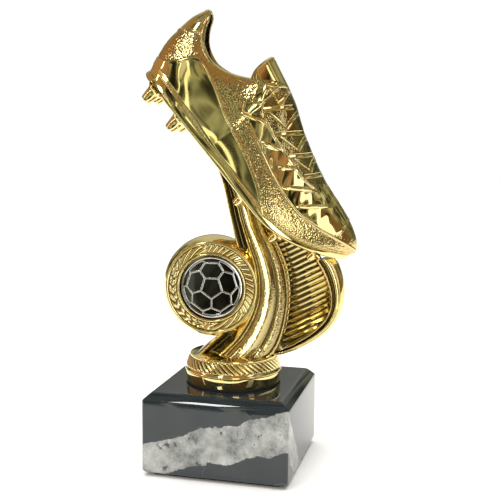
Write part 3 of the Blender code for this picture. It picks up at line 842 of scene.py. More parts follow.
def build_ring():
    """The ring with its recess in front, a shallow dish behind, and a relief band on both faces."""
    # From the face's inner edge over the band and the outer bead to the ring's middle
    width = BAND_OUTER - BAND_INNER
    half = [(13.75, FACE), (14.1, FACE), (14.35, FACE - 0.2)]
    half += [(BAND_INNER + width * step / BAND_STEPS, FACE - BAND_DROP) for step in range(BAND_STEPS + 1)]
    half += [
        (18.05, FACE - 0.15), (18.25, FACE), (18.75, FACE), (19.0, FACE - 0.12), (19.2, FACE - 0.45),
        (19.7, 6.2), (20.4, 4.9), (20.95, 3.3), (RING_RADIUS, 1.2),
    ]
    outline = [(0.0, -3.4), (13.3, -3.4), (13.35, -6.9), (13.5, -7.35)]
    outline += [(radius, -level) for radius, level in half]
    outline += [(RING_RADIUS + 0.05, 0.0)] + half[::-1]
    outline += [
        (13.5, FACE - 0.35), (13.3, FACE - 1.0), (12.7, FACE - 1.1), (12.3, FACE - 0.8), (11.9, FACE - 0.8),
        (11.5, FACE - 1.2), (5.2, FACE - 1.45), (4.8, FACE - 1.1), (4.2, FACE - 0.95), (0.0, FACE - 0.9),
    ]
    grid = turned_grid(outline, RING_SEGMENTS, along_y=True)
    radius = np.hypot(grid[..., 0], grid[..., 2])
    angle = np.arctan2(grid[..., 2], grid[..., 0])
    on_band = (radius > BAND_INNER - 0.01) & (radius < BAND_OUTER + 0.01)
    on_band &= np.abs(grid[..., 1]) > FACE - 1.0
    pattern = band_relief(angle, radius) * on_band
    # Painted shade between the band's strokes and leaves
    painted_shade = 0.85 * smooth(0.65, 0.15, pattern) * on_band
    grid[..., 1] += np.sign(grid[..., 1]) * BAND_RELIEF * pattern
    shape = Shape()
    shape.add_grid(grid, wrap_u=True, shade=painted_shade.ravel())
    ring = shape.make("medallion_ring", RING, [gold], sharp=45, weld=0.001)
    settle(ring, "gold_plated_plastic", "medallion_ring_front", "medallion_ring_rear")


INSERT_RADIUS = 12.8
INSERT_FACE = 6.2
PENTAGON = 4.75                # radius to the middle pentagon's corners
SPOKE = 8.5                    # radius where each spoke forks
HEXAGON = 10.6                 # radius to the outer corners of the hexagons
HEXAGON_TURN = 20.5            # degrees of those corners to each side of a spoke
PATTERN_EDGE = 11.75
FACE_EDGE = 11.9               # where the black face meets the silver rim
SEAM_RISE = 0.16
SEAM_SINK = 0.03
SEAM_WIDTHS = (0.85, 0.6, 0.5)  # of the pattern, of its ends at the edge, and along the edge
EDGE_ARC = 17.0                # degrees of the seam along the edge, to each side of a spoke
INSERT_SEGMENTS = 160


def insert_depth(radius):
    """How far the insert's domed face stands in front of the ring's middle plane."""
    return INSERT_FACE - 0.1 + 0.5 * (1.0 - (radius / INSERT_RADIUS) ** 2)


def polar(radius, degrees):
    angle = math.radians(degrees)
    return np.array([radius * math.cos(angle), radius * math.sin(angle)])


def seam(shape, start, end, width):
    """A raised half-round line on the domed face from start to end."""
    steps = 10
    along = (end - start) / np.linalg.norm(end - start)
    side = np.array([-along[1], along[0]])
    loops = []
    for step in range(steps + 1):
        middle = start + (end - start) * step / steps
        loop = []
        for across in np.linspace(-1.0, 1.0, 7):
            point = middle + side * across * width / 2
            rise = SEAM_RISE * math.sqrt(max(0.0, 1.0 - across * across)) - SEAM_SINK
            loop.append((point[0], -insert_depth(np.hypot(*point)) - rise, point[1]))
        loops.append(loop)
    shape.add_grid(np.array(loops), slot=1)


def build_insert():
    """The domed black disc, its silver rim and the ball pattern's raised lines."""
    shape = Shape()
    face = [(radius, -insert_depth(radius)) for radius in np.linspace(0.0, FACE_EDGE, 20)]
    rim = [
        (11.95, -INSERT_FACE + 0.05), (12.05, -INSERT_FACE - 0.22), (12.3, -INSERT_FACE - 0.34),
        (12.6, -INSERT_FACE - 0.26), (INSERT_RADIUS, -INSERT_FACE + 0.1), (INSERT_RADIUS, -INSERT_FACE + 1.2),
        (0.0, -INSERT_FACE + 1.2),
    ]
    shape.add_grid(turned_grid(face, INSERT_SEGMENTS, True), wrap_u=True)
    shape.add_grid(turned_grid([face[-1]] + rim, INSERT_SEGMENTS, True), wrap_u=True, slot=1)
    inner, outer, edge = SEAM_WIDTHS
    for k in range(5):
        down = -90.0 + 72.0 * k
        corner, after = polar(PENTAGON, down), polar(PENTAGON, down + 72.0)
        fork = polar(SPOKE, down)
        left, right = polar(HEXAGON, down - HEXAGON_TURN), polar(HEXAGON, down + HEXAGON_TURN)
        following = polar(HEXAGON, down + 72.0 - HEXAGON_TURN)
        for start, end in ((corner, after), (corner, fork), (fork, left), (fork, right), (right, following)):
            seam(shape, start, end, inner)
        for turn in (-HEXAGON_TURN, HEXAGON_TURN):
            seam(shape, polar(HEXAGON, down + turn), polar(PATTERN_EDGE, down + turn * 0.86), outer)
        arc = [polar(PATTERN_EDGE - 0.25, down + turn) for turn in np.linspace(-EDGE_ARC, EDGE_ARC, 7)]
        for first, second in zip(arc, arc[1:]):
            seam(shape, first, second, edge)
    disc = shape.make("medallion_insert", RING, [ink, silver], sharp=40, weld=0.001)
    settle(disc, "insert_metal", "medallion_disc")


# ---------------------------------------------------------------- boot

BOOT_LENGTH = 109.6
SOLE_THICK = 2.2
GAP = 0.3
BOOT_WALL = 1.6
THROAT_START = 30.0
THROAT_END = 41.0
ANKLE_NARROWING = 0.66
RISE_POWER = 1.15              # how the rows spread from the sole to the top
PLAN_POWER = 2.6               # roundness of the plan at the toe and heel; 2 is an oval
# Half width, and height of the top, over a
BOOT_HALF_WIDTH = [(0, 12.8), (15, 13.2), (38, 12.6), (60, 16.0), (78, 18.4), (95, 17.6), (110, 15.0)]
BOOT_TOP = [
    (-5, 35.4), (-2, 36.4), (0.4, 35.0), (3, 30.8), (6.5, 27.2), (11, 25.2), (16, 24.8),
    (24, 27.8), (31, 32.8), (41, 40.6), (62, 33.8), (78, 29.2), (98, 26.2), (106, 23.8), (111, 20.5),
]


def throat_share(a):
    """Half width of the ankle's opening as a share of the boot's half width; 0 in front of it."""
    part = np.clip((a - THROAT_START) / (THROAT_END - THROAT_START), 0.0, 1.0)
    return ANKLE_NARROWING * np.sqrt(1.0 - part ** 4)


def shell_bottom(a):
    return sole_bottom(a) + SOLE_THICK + GAP


def boot_ends(rise):
    """a of the heel's back and of the toe's tip at a share of the height."""
    rear = -4.9 * np.sin(np.pi / 2 * np.minimum(1.0, rise * 1.9)) + 35.2 * np.maximum(0.0, rise - 0.75) ** 2
    front = BOOT_LENGTH + 1.2 * np.sin(np.pi * rise * 0.9) - 0.8 * rise * rise
    return rear, front


def boot_surface(angle, lift, inset=0.0):
    """Boot-frame points: angle 0 at the heel to pi at the toe on the near side, lift 0 to 1."""
    lift = np.clip(lift, 0.0, 1.0)
    phase = lift * np.pi / 2
    rise = np.sin(phase) ** RISE_POWER
    rear, front = boot_ends(rise)
    share = (1.0 - np.cos(angle)) / 2.0
    throat = throat_share(rear + (front - rear) * share)
    a = rear + inset + (front - rear - 2.0 * inset) * share
    bottom = shell_bottom(a)
    top = curve(BOOT_TOP, a) - inset * (1.0 - throat / ANKLE_NARROWING)
    roundness = (1.0 - np.abs(np.cos(angle)) ** PLAN_POWER) ** (1.0 / PLAN_POWER)
    half = (curve(BOOT_HALF_WIDTH, a) - inset) * roundness
    # Full cheeks where the ankle's opening ends, a plain oval towards the toe
    power = 1.0 - 0.25 * np.clip((a - 80.0) / 25.0, 0.0, 1.0)
    power = power - 0.45 * smooth(31.0, 39.0, a) * smooth(60.0, 42.0, a)
    side = np.where(lift < 1.0, np.maximum(0.0, np.cos(phase)) ** power, 0.0)
    width = half * (throat + (1.0 - throat) * side)
    c = np.where(np.sin(angle) > 0.0, -width, width)
    return np.stack([a, c, bottom + rise * (top - bottom)], -1)


def surface_at(a, b):
    """Boot-frame surface point at a and b on the near side."""
    bottom = shell_bottom(a)
    top = curve(BOOT_TOP, a)
    rise = np.clip((b - bottom) / (top - bottom), 0.0, 1.0)
    lift = np.arcsin(rise ** (1 / RISE_POWER)) / (np.pi / 2)
    rise = np.sin(np.clip(lift, 0, 1) * np.pi / 2) ** RISE_POWER
    rear, front = boot_ends(rise)
    share = np.clip((a - rear) / (front - rear), 0.0, 1.0)
    return boot_surface(np.arccos(1.0 - 2.0 * share), lift)


# Lines of the side view, as b over a
PANEL_LINE = [(-6, 6.5), (-1, 8.6), (2, 10.2), (5.7, 14.6), (8.4, 19.4), (12, 21.9), (22.3, 20.4),
              (34.2, 16.6), (46.4, 13.8), (56, 11.6), (67.1, 7.6), (77, 1.6), (84, 0.5), (112, 8.0)]
VAMP_LINE = [(40, 22.2), (43, 20.9), (50.4, 18.7), (57.5, 16.9), (65.1, 15.1), (72.8, 13.9), (79, 13.4),
             (84.5, 13.6), (94.1, 15.9), (102.7, 18.9), (108.4, 20.3), (112, 20.5)]
HEEL_TAB_LINE = [(-6, 20.5), (-3.5, 23.0), (-1, 24.9), (1.8, 27.3), (4.5, 28.6)]
EYESTAY_LINE = [(20.8, 43.0), (24, 40.6), (28, 37.6), (31, 35.4), (34, 33.6)]   # a over b
EYELET_LINE = [(33, 38.6), (36.6, 35.6), (39.5, 31.6), (43.2, 28.2), (53.5, 25.3), (63.9, 24.1),
               (73.8, 23.5), (80, 24.4), (86, 27.0)]
PATCH = [(35.6, 24.8), (41.2, 29.6), (45.0, 26.6), (38.6, 21.6)]
# Raised slashes on the vamp: start and end in a and b, and half width
SLASHES = [
    (38.0, 20.8, 47.8, 25.7, 0.55), (52.4, 19.8, 60.4, 24.2, 0.72), (64.2, 18.8, 70.0, 24.4, 0.72),
    (71.0, 15.0, 82.2, 25.4, 0.66), (81.0, 14.8, 90.6, 25.8, 0.62),
]


def line_distance(line, a, b):
    """Signed distance of points above a side-view line."""
    here = curve(line, a)
    slope = (curve(line, a + 0.25) - curve(line, a - 0.25)) / 0.5
    return (b - here) / np.sqrt(1.0 + slope ** 2)


def inside_polygon(corners, a, b):
    """Smallest distance inside a convex outline given clockwise; negative outside."""
    nearest = np.full(a.shape, 1e9)
    centre = np.mean(corners, 0)
    for (a0, b0), (a1, b1) in zip(corners, corners[1:] + corners[:1]):
        length = math.hypot(a1 - a0, b1 - b0)
        normal = np.array([-(b1 - b0), a1 - a0]) / length
        if (centre[0] - a0) * normal[0] + (centre[1] - b0) * normal[1] < 0:
            normal = -normal
        nearest = np.minimum(nearest, (a - a0) * normal[0] + (b - b0) * normal[1])
    return nearest


def quarter_relief(a, b):
    """Panels and seams of the boot's side: relief height and stipple mask."""
    panel = line_distance(PANEL_LINE, a, b)
    vamp = line_distance(VAMP_LINE, a, b)
    tab = line_distance(HEEL_TAB_LINE, a, b)
    eyestay = a - curve(EYESTAY_LINE, b)
    rear_zone = smooth(0.2, -0.2, eyestay) * smooth(43.6, 42.8, a)
    front_zone = smooth(0.15, -0.25, vamp) * smooth(42.8, 43.6, a)
    not_tab = np.where(a < 5.0, smooth(0.25, -0.25, tab), 1.0)
    stipple = smooth(-0.15, 0.35, panel) * np.maximum(rear_zone, front_zone) * not_tab
    relief = -0.22 * stipple
    relief += 0.30 * bump(vamp, 0.42) * smooth(42.0, 45.0, a)
    relief += 0.16 * bump(panel + 0.3, 0.5) * smooth(78.0, 70.0, a)
    relief += 0.22 * bump(tab, 0.4) * (a < 5.0)
    relief += 0.22 * bump(eyestay, 0.4) * smooth(20.8, 22.5, b) * (a < 44.0)
    # Two fine ridges above the sole's edge, wider apart at the heel
    edge = b - shell_bottom(a)
    wall = 2.6 * smooth(48.0, 0.0, a) + 0.5
    relief += 0.26 * bump(edge - wall, 0.28) + 0.20 * bump(edge - wall - 0.9, 0.26)
    # The satin patch stands proud inside a fine groove
    patch = inside_polygon(PATCH, a, b)
    outside = smooth(0.5, -0.5, patch)
    stipple = np.maximum(stipple * outside, 0.35 * smooth(0.0, 0.3, patch))
    relief *= outside
    relief += 0.40 * smooth(-0.2, 0.25, patch) - 0.16 * bump(patch + 0.5, 0.3)
    return relief, stipple


def slash_relief(a, b):
    """The raised slashes, with a steep lower edge: relief height, and 0 where they stand, else 1."""
    relief = np.zeros(a.shape)
    clear = np.ones(a.shape)
    for a0, b0, a1, b1, half in SLASHES:
        length = math.hypot(a1 - a0, b1 - b0)
        ta, tb = (a1 - a0) / length, (b1 - b0) / length
        along = ((a - a0) * ta + (b - b0) * tb) / length
        across = (a - a0) * -tb + (b - b0) * ta
        inside = (along > 0.0) & (along < 1.0)
        along = np.clip(along, 0.0, 1.0)
        lens = half * np.clip(3.4 * along ** 0.7 * (1.0 - along) ** 1.1, 0.0, 1.0) + 0.02
        blade = smooth(-1.0, -0.55, across / lens) * smooth(1.15, 0.0, across / lens)
        relief += np.where(inside, 0.85 * blade * np.minimum(1.0, lens / half), 0.0)
        clear *= np.where(inside & (np.abs(across) < lens), 0.0, 1.0)
    return relief, clear


def toe_relief(a, b, c, vamp):
    """Double line along the top of the toe, and the toe cap's edge: relief height and the cap's mask."""
    toe = smooth(78.0, 82.0, a) * smooth(101.0, 98.0, a)
    relief = toe * (0.28 * bump(np.abs(c) - 4.6, 0.35) + 0.24 * bump(np.abs(c) - 2.9, 0.30))
    cap = a - (97.0 + 3.0 * np.sin(np.pi * np.clip((b - 14.0) / 14.0, 0, 1)))
    cap_zone = smooth(0.3, 1.2, vamp)
    relief += 0.24 * bump(cap, 0.4) * cap_zone
    return relief, 0.75 * smooth(0.2, 0.8, cap) * cap_zone


def boot_relief(a, b, c):
    """Relief height, stipple mask and painted shade that darkens the gold in recesses and under the laces, on
    the boot's outside.
    """
    relief, stipple = quarter_relief(a, b)
    raised, clear = slash_relief(a, b)
    relief += raised
    stipple *= clear
    # Shallow flutes between the slashes
    vamp = line_distance(VAMP_LINE, a, b)
    flute = np.sin(2 * np.pi * (a * 0.62 + b * 0.36) / 3.4)
    relief += 0.05 * flute * smooth(0.6, 2.0, vamp) * smooth(50.0, 58.0, a) * smooth(96.0, 90.0, a)
    # The instep under the laces is lightly stippled inside a raised eyelet edge
    eyelets = line_distance(EYELET_LINE, a, b)
    instep = smooth(34.0, 37.0, a) * smooth(82.0, 79.0, a)
    under_laces = smooth(0.2, 0.8, eyelets) * instep
    relief += 0.24 * bump(eyelets, 0.32) * instep
    stipple = np.maximum(stipple, 0.7 * under_laces)
    raised, cap = toe_relief(a, b, c, vamp)
    relief += raised
    stipple = np.maximum(stipple, cap)
    # Painted shade in the recessed relief and on the instep under the laces
    painted_shade = np.maximum(0.7 * smooth(0.02, -0.2, relief + 0.22 * stipple), 0.55 * under_laces)
    return relief, stipple, painted_shade


UPPER_AROUND = 820
UPPER_ROWS = 170
UPPER_STIPPLE = 0.10
ANKLE_BAND = 1.2               # width of the plain band along the ankle's edge
ANKLE_ROLL = 0.55              # how far the rolled edge swells past the shell
ROLL_STEPS = 9
LINING_ROWS = 40


def build_upper():
    """Outer skin with its relief, rolled ankle edge, inner skin and the hidden lower edge."""
    angle = whole_turn(UPPER_AROUND)[:, None]
    lift = (np.linspace(0.0, 1.0, UPPER_ROWS) ** 0.92)[None, :]
    outer = boot_surface(angle + 0 * lift, lift + 0 * angle)
    normal = grid_normals(outer, True, False)
    relief, stipple, painted_shade = boot_relief(outer[..., 0], outer[..., 2], outer[..., 1])
    throat = throat_share(outer[:, -1, 0])
    open_edge = throat > 0.0
    # The ankle's rim band
    from_top = np.linalg.norm(np.diff(outer, axis=1), axis=-1)
    from_top = np.concatenate([np.cumsum(from_top[:, ::-1], 1)[:, ::-1], np.zeros((UPPER_AROUND, 1))], 1)
    rim = smooth(ANKLE_BAND + 0.3, ANKLE_BAND, from_top) * open_edge[:, None]
    stipple = stipple * (1.0 - rim)
    relief = relief * (1.0 - rim) + rim * 0.28 * (0.6 + 0.4 * bump(from_top - 1.1, 0.25))
    relief = relief + UPPER_STIPPLE * stipple * (lattice_noise(outer, STIPPLE_CELL) - 0.5)
    seam_fade = np.where(open_edge[:, None], 1.0, smooth(0.0, 0.4, from_top))
    skin = outer + normal * (relief * seam_fade)[..., None]
    shape = Shape()
    # The outer skin carries the painted shade from boot_relief
    shape.add_grid(skin, wrap_u=True, stipple=stipple.ravel(), shade=painted_shade.ravel())
    inner_lift = np.linspace(0.0, 1.0, LINING_ROWS)[None, :]
    inner = boot_surface(angle + 0 * inner_lift, inner_lift + 0 * angle, BOOT_WALL)
    shape.add_grid(inner, wrap_u=True, flip=True, slot=1, stipple=0.1)
    shape.add_grid(np.stack([skin[:, 0], inner[:, 0]], 1), wrap_u=True)
    # The rolled edge runs over the columns of the open ankle only
    top_outer, top_inner = skin[:, -1], inner[:, -1]
    rise = outer[:, -1] - outer[:, -6]
    rise /= np.linalg.norm(rise, axis=-1, keepdims=True)
    share = np.linspace(0.0, 1.0, ROLL_STEPS)
    arch = np.sin(np.pi * share)
    swell = ANKLE_ROLL * (throat / ANKLE_NARROWING)
    roll = (top_outer[:, None] * (1 - share[None, :, None]) + top_inner[:, None] * share[None, :, None]
            + rise[:, None] * (arch[None, :, None] * swell[:, None, None]))
    last = int(np.nonzero(~open_edge)[0][0])
    order = list(range(UPPER_AROUND - last, UPPER_AROUND)) + list(range(0, last + 1))
    shape.add_grid(roll[order])
    upper = shape.make("boot_shell", BOOT, [gold, gold_lining], weld=0.004)
    settle(upper, "gold_plated_plastic", "boot_upper")


# Along the tongue from its root: a and b of its ridge, half width, and drop of its sides
TONGUE_SPINE = [
    (52.0, 36.0, 4.6, 4.8), (47.0, 38.6, 5.6, 5.8), (43.0, 40.2, 6.4, 7.0), (39.0, 41.2, 7.2, 8.8),
    (35.0, 42.1, 7.8, 10.4), (32.0, 42.8, 8.0, 11.4), (30.0, 43.3, 7.9, 11.7), (28.8, 43.4, 7.7, 11.6),
]
TONGUE_THICK = 1.3
TONGUE_CHANNEL = 0.10          # height of the waves across it
TONGUE_BINDING = 0.22          # how far its bound edge stands out


def build_tongue():
    """A thick arched leaf with a bound edge and shallow channels along it."""
    spine = smooth_path(TONGUE_SPINE, 12)
    turn = np.radians(np.linspace(-88.0, 88.0, 61))
    channels = TONGUE_CHANNEL * np.cos(turn * 9.0) * (np.abs(turn) < 1.3)
    binding = TONGUE_BINDING * bump(np.abs(turn) - 1.42, 0.09)
    loops = []
    for k, (a, b, half, drop) in enumerate(spine):
        c = half * np.sin(turn)
        low = b - drop * (1.0 - np.cos(turn))
        swept = a + 2.6 * smooth(41.0, 30.0, a) * (1.0 - np.cos(turn)) ** 4
        out = np.stack([drop * np.sin(turn), half * np.cos(turn)], -1)
        out /= np.linalg.norm(out, axis=1, keepdims=True)
        tip = TONGUE_BINDING * bump(k - (len(spine) - 4), 1.6)
        outer = TONGUE_THICK / 2 + channels + binding + tip
        inner = -TONGUE_THICK / 2
        loop = [np.stack([swept, c + out[:, 0] * outer, low + out[:, 1] * outer], -1)]
        for ends in (-1, 0):
            middle = np.array([swept[ends], c[ends], low[ends]])
            beyond = np.array([0.0, 0.0, -0.5])
            across = np.array([0.0, out[ends, 0], out[ends, 1]])
            rim = [middle + beyond + across * value for value in (0.35, -0.35)]
            if ends == -1:
                loop.append(np.array(rim))
                back = np.stack([swept, c + out[:, 0] * inner, low + out[:, 1] * inner], -1)
                loop.append(back[::-1])
            else:
                loop.append(np.array(rim[::-1]))
        loops.append(np.concatenate(loop))
    loops = np.array(loops)
    # At the tip each point draws in towards the one on the leaf's other face
    count = len(turn)
    flip = np.concatenate([np.arange(count + 1 + count, count + 1, -1), [count + 1, count]])
    rest = np.concatenate([np.arange(count - 1, -1, -1), [2 * count + 3, 2 * count + 2]])
    partner = np.concatenate([flip, rest])[: loops.shape[1]]
    between = (loops[-1] + loops[-1][partner]) / 2
    for share, forward in ((0.8, 0.3), (0.45, 0.5)):
        cap = between + (loops[-1] - between) * share
        cap[:, 0] -= forward
        loops = np.concatenate([loops, cap[None]])
    shape = Shape()
    shape.add_tube(loops)
    tongue = shape.make("boot_tongue_leaf", BOOT, [gold], sharp=55)
    settle(tongue, "gold_plated_plastic", "boot_tongue")


def surface_normals(path):
    """Outward directions on the boot at points of its surface, from its oval cross-section."""
    a, c, b = path[:, 0], path[:, 1], path[:, 2]
    low = shell_bottom(a)
    slope = (curve(BOOT_TOP, a + 1.0) - curve(BOOT_TOP, a - 1.0)) / 2.0
    out = c / curve(BOOT_HALF_WIDTH, a) ** 2
    up = (b - low) / (curve(BOOT_TOP, a) - low) ** 2
    normal = np.stack([-slope * up, out, up], -1)
    return normal / np.linalg.norm(normal, axis=1, keepdims=True)


def strip(shape, path, half_width, thick, sink=0.3):
    """A flat lace with a bead along each side, lying on the boot along path (boot frame)."""
    tangent = np.gradient(path, axis=0)
    tangent /= np.linalg.norm(tangent, axis=1, keepdims=True)
    side = np.cross(tangent, surface_normals(path))
    side /= np.linalg.norm(side, axis=1, keepdims=True)
    normal = np.cross(side, tangent)
    section = [
        (-1.0, -sink), (-1.0, 0.7 * thick), (-0.86, 1.15 * thick), (-0.66, 0.9 * thick), (0.0, 0.78 * thick),
        (0.66, 0.9 * thick), (0.86, 1.15 * thick), (1.0, 0.7 * thick), (1.0, -sink),
    ]
    loops = []
    for point, n, s in zip(path, normal, side):
        loops.append([point + s * across * half_width + n * level for across, level in section])
    shape.add_tube(loops)


# Lace bars: a and b at the eyestay, and a where the bar crosses the ridge
LACE_BARS = [
    (36.6, 36.0, 41.6), (43.2, 28.6, 50.2), (53.5, 25.7, 60.0), (63.9, 24.5, 69.0), (73.8, 23.9, 77.4),
]


def lace_point(share_down, across):
    """Place between bars (share_down counts bars) and across them, 0 at the eyestay and 1 on the ridge."""
    rows = np.arange(len(LACE_BARS))
    near_a, near_b, ridge_a = [np.interp(share_down, rows, places) for places in zip(*LACE_BARS)]
    a = near_a + (ridge_a - near_a) * across
    b = near_b + (curve(BOOT_TOP, ridge_a) - near_b) * across
    return surface_at(a, np.minimum(b, curve(BOOT_TOP, a)))


FAR_SIDE = np.array([1.0, -1.0, 1.0])


def mirrored(path):
    """The path from the near eyestay to the ridge, carried on to the far eyestay."""
    far = path[::-1] * FAR_SIDE
    whole = np.concatenate([path[:-1], far])
    for _ in range(4):
        whole[1:-1] = (whole[:-2] + 2 * whole[1:-1] + whole[2:]) / 4
    return whole


LACE_STEPS = 16
# Half width and thickness of the bars and of the two laces that cross between them
BAR_LACE = (1.05, 0.62)
NARROW_LACE = (0.5, 0.46)
WIDE_LACE = (1.1, 0.5)


def build_laces():
    """Five bars over the instep, with a narrow and a wide lace crossing between each two."""
    shape = Shape()
    t = np.linspace(0.0, 1.0, LACE_STEPS)
    for row in range(len(LACE_BARS)):
        strip(shape, mirrored(lace_point(np.full(LACE_STEPS, float(row)), t)), *BAR_LACE)
    for row in range(len(LACE_BARS) - 1):
        fall = lace_point(row + 0.12 + 0.66 * t, 0.14 + 0.34 * t)
        strip(shape, fall, *NARROW_LACE)
        strip(shape, fall * FAR_SIDE, *NARROW_LACE)
        climb = lace_point(row + 0.80 - 0.62 * t, 0.48 + 0.52 * t)
        strip(shape, mirrored(climb), *WIDE_LACE)
    laces = shape.make("boot_laces", BOOT, [gold], sharp=40)
    settle(laces, "gold_plated_plastic")


# Each pair of studs: a, distance from the middle, height and radius
STUDS = [(9.0, 8.0, 6.0, 3.3), (24.0, 8.0, 6.0, 3.3), (64.5, 12.6, 4.0, 2.6),
         (84.5, 13.4, 4.0, 2.6), (100.0, 9.8, 3.8, 2.5)]
# The sole's side wall: how far out, and how far up from the sole's underside
SOLE_WALL = [(-1.2, 0.0), (-0.4, 0.02), (0.15, 0.2), (0.42, 0.6), (0.45, 1.2), (0.3, 2.2), (0.2, 2.6),
             (-0.3, 2.75)]
SOLE_AROUND = 360
SOLE_STATIONS = 260
SOLE_ACROSS = 41


def add_sole_wall(shape):
    """The wall follows the boot's lower edge and leans out from the boot's middle line."""
    edge = boot_surface(whole_turn(SOLE_AROUND), np.zeros(SOLE_AROUND))
    a, c = edge[:, 0], edge[:, 1]
    centre = np.stack([np.clip(a, 14.0, 94.0), np.zeros(SOLE_AROUND)], -1)
    out = np.stack([a, c], -1) - centre
    out /= np.maximum(np.linalg.norm(out, axis=1, keepdims=True), 1e-6)
    low = sole_bottom(a)
    rows = []
    for grow, level in SOLE_WALL:
        rows.append(np.stack([a + out[:, 0] * grow, c + out[:, 1] * grow, low + level], -1))
    shape.add_grid(np.stack(rows, 1), wrap_u=True)


def add_sole_faces(shape):
    """Underside, ribbed lightly across and with a spine and a border, and the plain upper side."""
    half_turn = np.pi * (np.arange(SOLE_STATIONS) + 0.5) / SOLE_STATIONS
    near = boot_surface(half_turn, np.zeros(SOLE_STATIONS))
    share = np.linspace(-1.0, 1.0, SOLE_ACROSS)
    a = np.broadcast_to(near[:, 0:1], (SOLE_STATIONS, SOLE_ACROSS))
    c = np.abs(near[:, 1:2]) * share * (1.0 - 1.2 / np.maximum(np.abs(near[:, 1:2]), 2.0))
    inner = np.clip(1.0 - np.abs(share), 0, 1)
    spine = 0.8 * bump(c, 1.4) * smooth(28, 36, a) * smooth(62, 54, a)
    rib = 0.25 * np.sin(2 * np.pi * a / 3.0)
    rib = rib * smooth(0.12, 0.3, inner) * smooth(4, 8, a) * smooth(104, 98, a)
    border = 0.35 * bump(inner - 0.1, 0.05)
    shape.add_grid(np.stack([a, c, sole_bottom(a) - spine - border + rib * 0.6], -1))
    shape.add_grid(np.stack([a, c * 0.98, sole_bottom(a) + SOLE_THICK], -1))


def add_stud(shape, at, out, tall, radius):
    """A conical stud under the sole; out is negative on the near side."""
    profile = [
        (radius * 1.25, 0.5), (radius * 1.22, -0.15), (radius * 1.05, -0.5), (radius * 0.95, -1.0),
        (radius * 0.78, -tall * 0.6), (radius * 0.66, -tall + 0.35), (radius * 0.6, -tall + 0.08),
        (radius * 0.48, -tall), (0.0, -tall),
    ]
    stud = turned_grid(profile, 32) + np.array([at, out, float(sole_bottom(at))])
    shape.add_grid(stud, wrap_u=True)


def build_sole():
    """The sole plate with a rounded side wall, and the studs."""
    shape = Shape()
    add_sole_wall(shape)
    add_sole_faces(shape)
    for at, out, tall, radius in STUDS:
        for side in (-1, 1):
            add_stud(shape, at, side * out, tall, radius)
    sole = shape.make("boot_outsole", BOOT, [gold], sharp=40, weld=0.001)
    settle(sole, "gold_plated_plastic", "boot_sole_plate")


# ---------------------------------------------------------------- stage

CAMERA_PLACE = (94.8, -351.2, 134.6)     # millimetres from the block's lower centre
CAMERA_AZIMUTH = 14.07
CAMERA_PITCH = 7.28
CAMERA_ROLL = 0.47
CAMERA_LENS = 63.6


def build_camera():
    data = bpy.data.cameras.new("camera")
    data.sensor_width = 36.0
    data.lens = CAMERA_LENS
    data.clip_start = 0.01
    camera = add_object("camera", data)
    x, y, z = CAMERA_PLACE
    turn = Matrix.Rotation(math.radians(CAMERA_AZIMUTH), 4, "Z")
    pitch = Matrix.Rotation(math.radians(90.0 - CAMERA_PITCH), 4, "X")
    roll = Matrix.Rotation(math.radians(CAMERA_ROLL), 4, "Z")
    place = Matrix.Translation((x * MM, y * MM, (z + BLOCK_BOTTOM) * MM))
    camera.matrix_world = place @ turn @ pitch @ roll
    bpy.context.scene.camera = camera


WHITE = (1.0, 1.0, 1.0)
OLIVE = (1.0, 1.0, 0.72)
# Soft boxes: azimuth, elevation, distance, width, height, power, colour, and whether they are reflected
SOFT_BOXES = {
    "key_box": (-24.0, 42.0, 0.9, 0.12, 0.16, 1.0, WHITE, True),
    "ridge_box": (22.0, -3.0, 0.95, 0.24, 0.50, 1.2, WHITE, True),
    "side_box": (58.0, 16.0, 0.95, 0.20, 0.80, 0.8, WHITE, True),
    "streak_a": (-13.0, 4.0, 0.95, 0.05, 1.0, 0.20, OLIVE, True),
    "streak_b": (-22.0, 4.0, 0.95, 0.025, 1.0, 0.10, OLIVE, True),
    "streak_c": (16.0, 4.0, 0.95, 0.02, 1.0, 0.08, OLIVE, True),
    "left_box": (-62.0, 12.0, 0.9, 0.04, 0.6, 0.4, WHITE, True),
    "front_flood": (5.0, 20.0, 1.2, 0.8, 0.8, 6.0, WHITE, False),
}
AIM_HEIGHT = 0.10
SUN_POWER = 3.7
SUN_SPREAD = 70.0


def soft_box(name, azimuth, elevation, distance, width, height, power, colour, glossy):
    """A light that faces the trophy; azimuth 0 is in front of it and 90 is at its right."""
    data = bpy.data.lights.new(name, "AREA")
    data.shape = "RECTANGLE"
    data.size = width
    data.size_y = height
    data.energy = power
    data.color = colour
    light = add_object(name, data)
    turn, rise = math.radians(azimuth), math.radians(elevation)
    x = distance * math.sin(turn) * math.cos(rise)
    y = -distance * math.cos(turn) * math.cos(rise)
    light.location = (x, y, AIM_HEIGHT + distance * math.sin(rise))
    light.rotation_euler = (math.pi / 2 - rise, 0.0, turn)
    light.visible_camera = False
    light.visible_glossy = glossy


# Soft panels of the room: direction, cosines where they start and are full, and colour
ROOM_PANELS = [
    ((0.34, -0.62, 0.70), 0.90, 0.985, (0.46, 0.25, 0.12)),
    ((-0.90, -0.18, 0.32), 0.74, 0.93, (0.44, 0.24, 0.11)),
    ((-0.10, 0.70, 0.70), 0.80, 0.93, (0.62, 0.61, 0.56)),
    ((0.97, -0.22, -0.05), 0.80, 0.95, (0.20, 0.13, 0.06)),
]


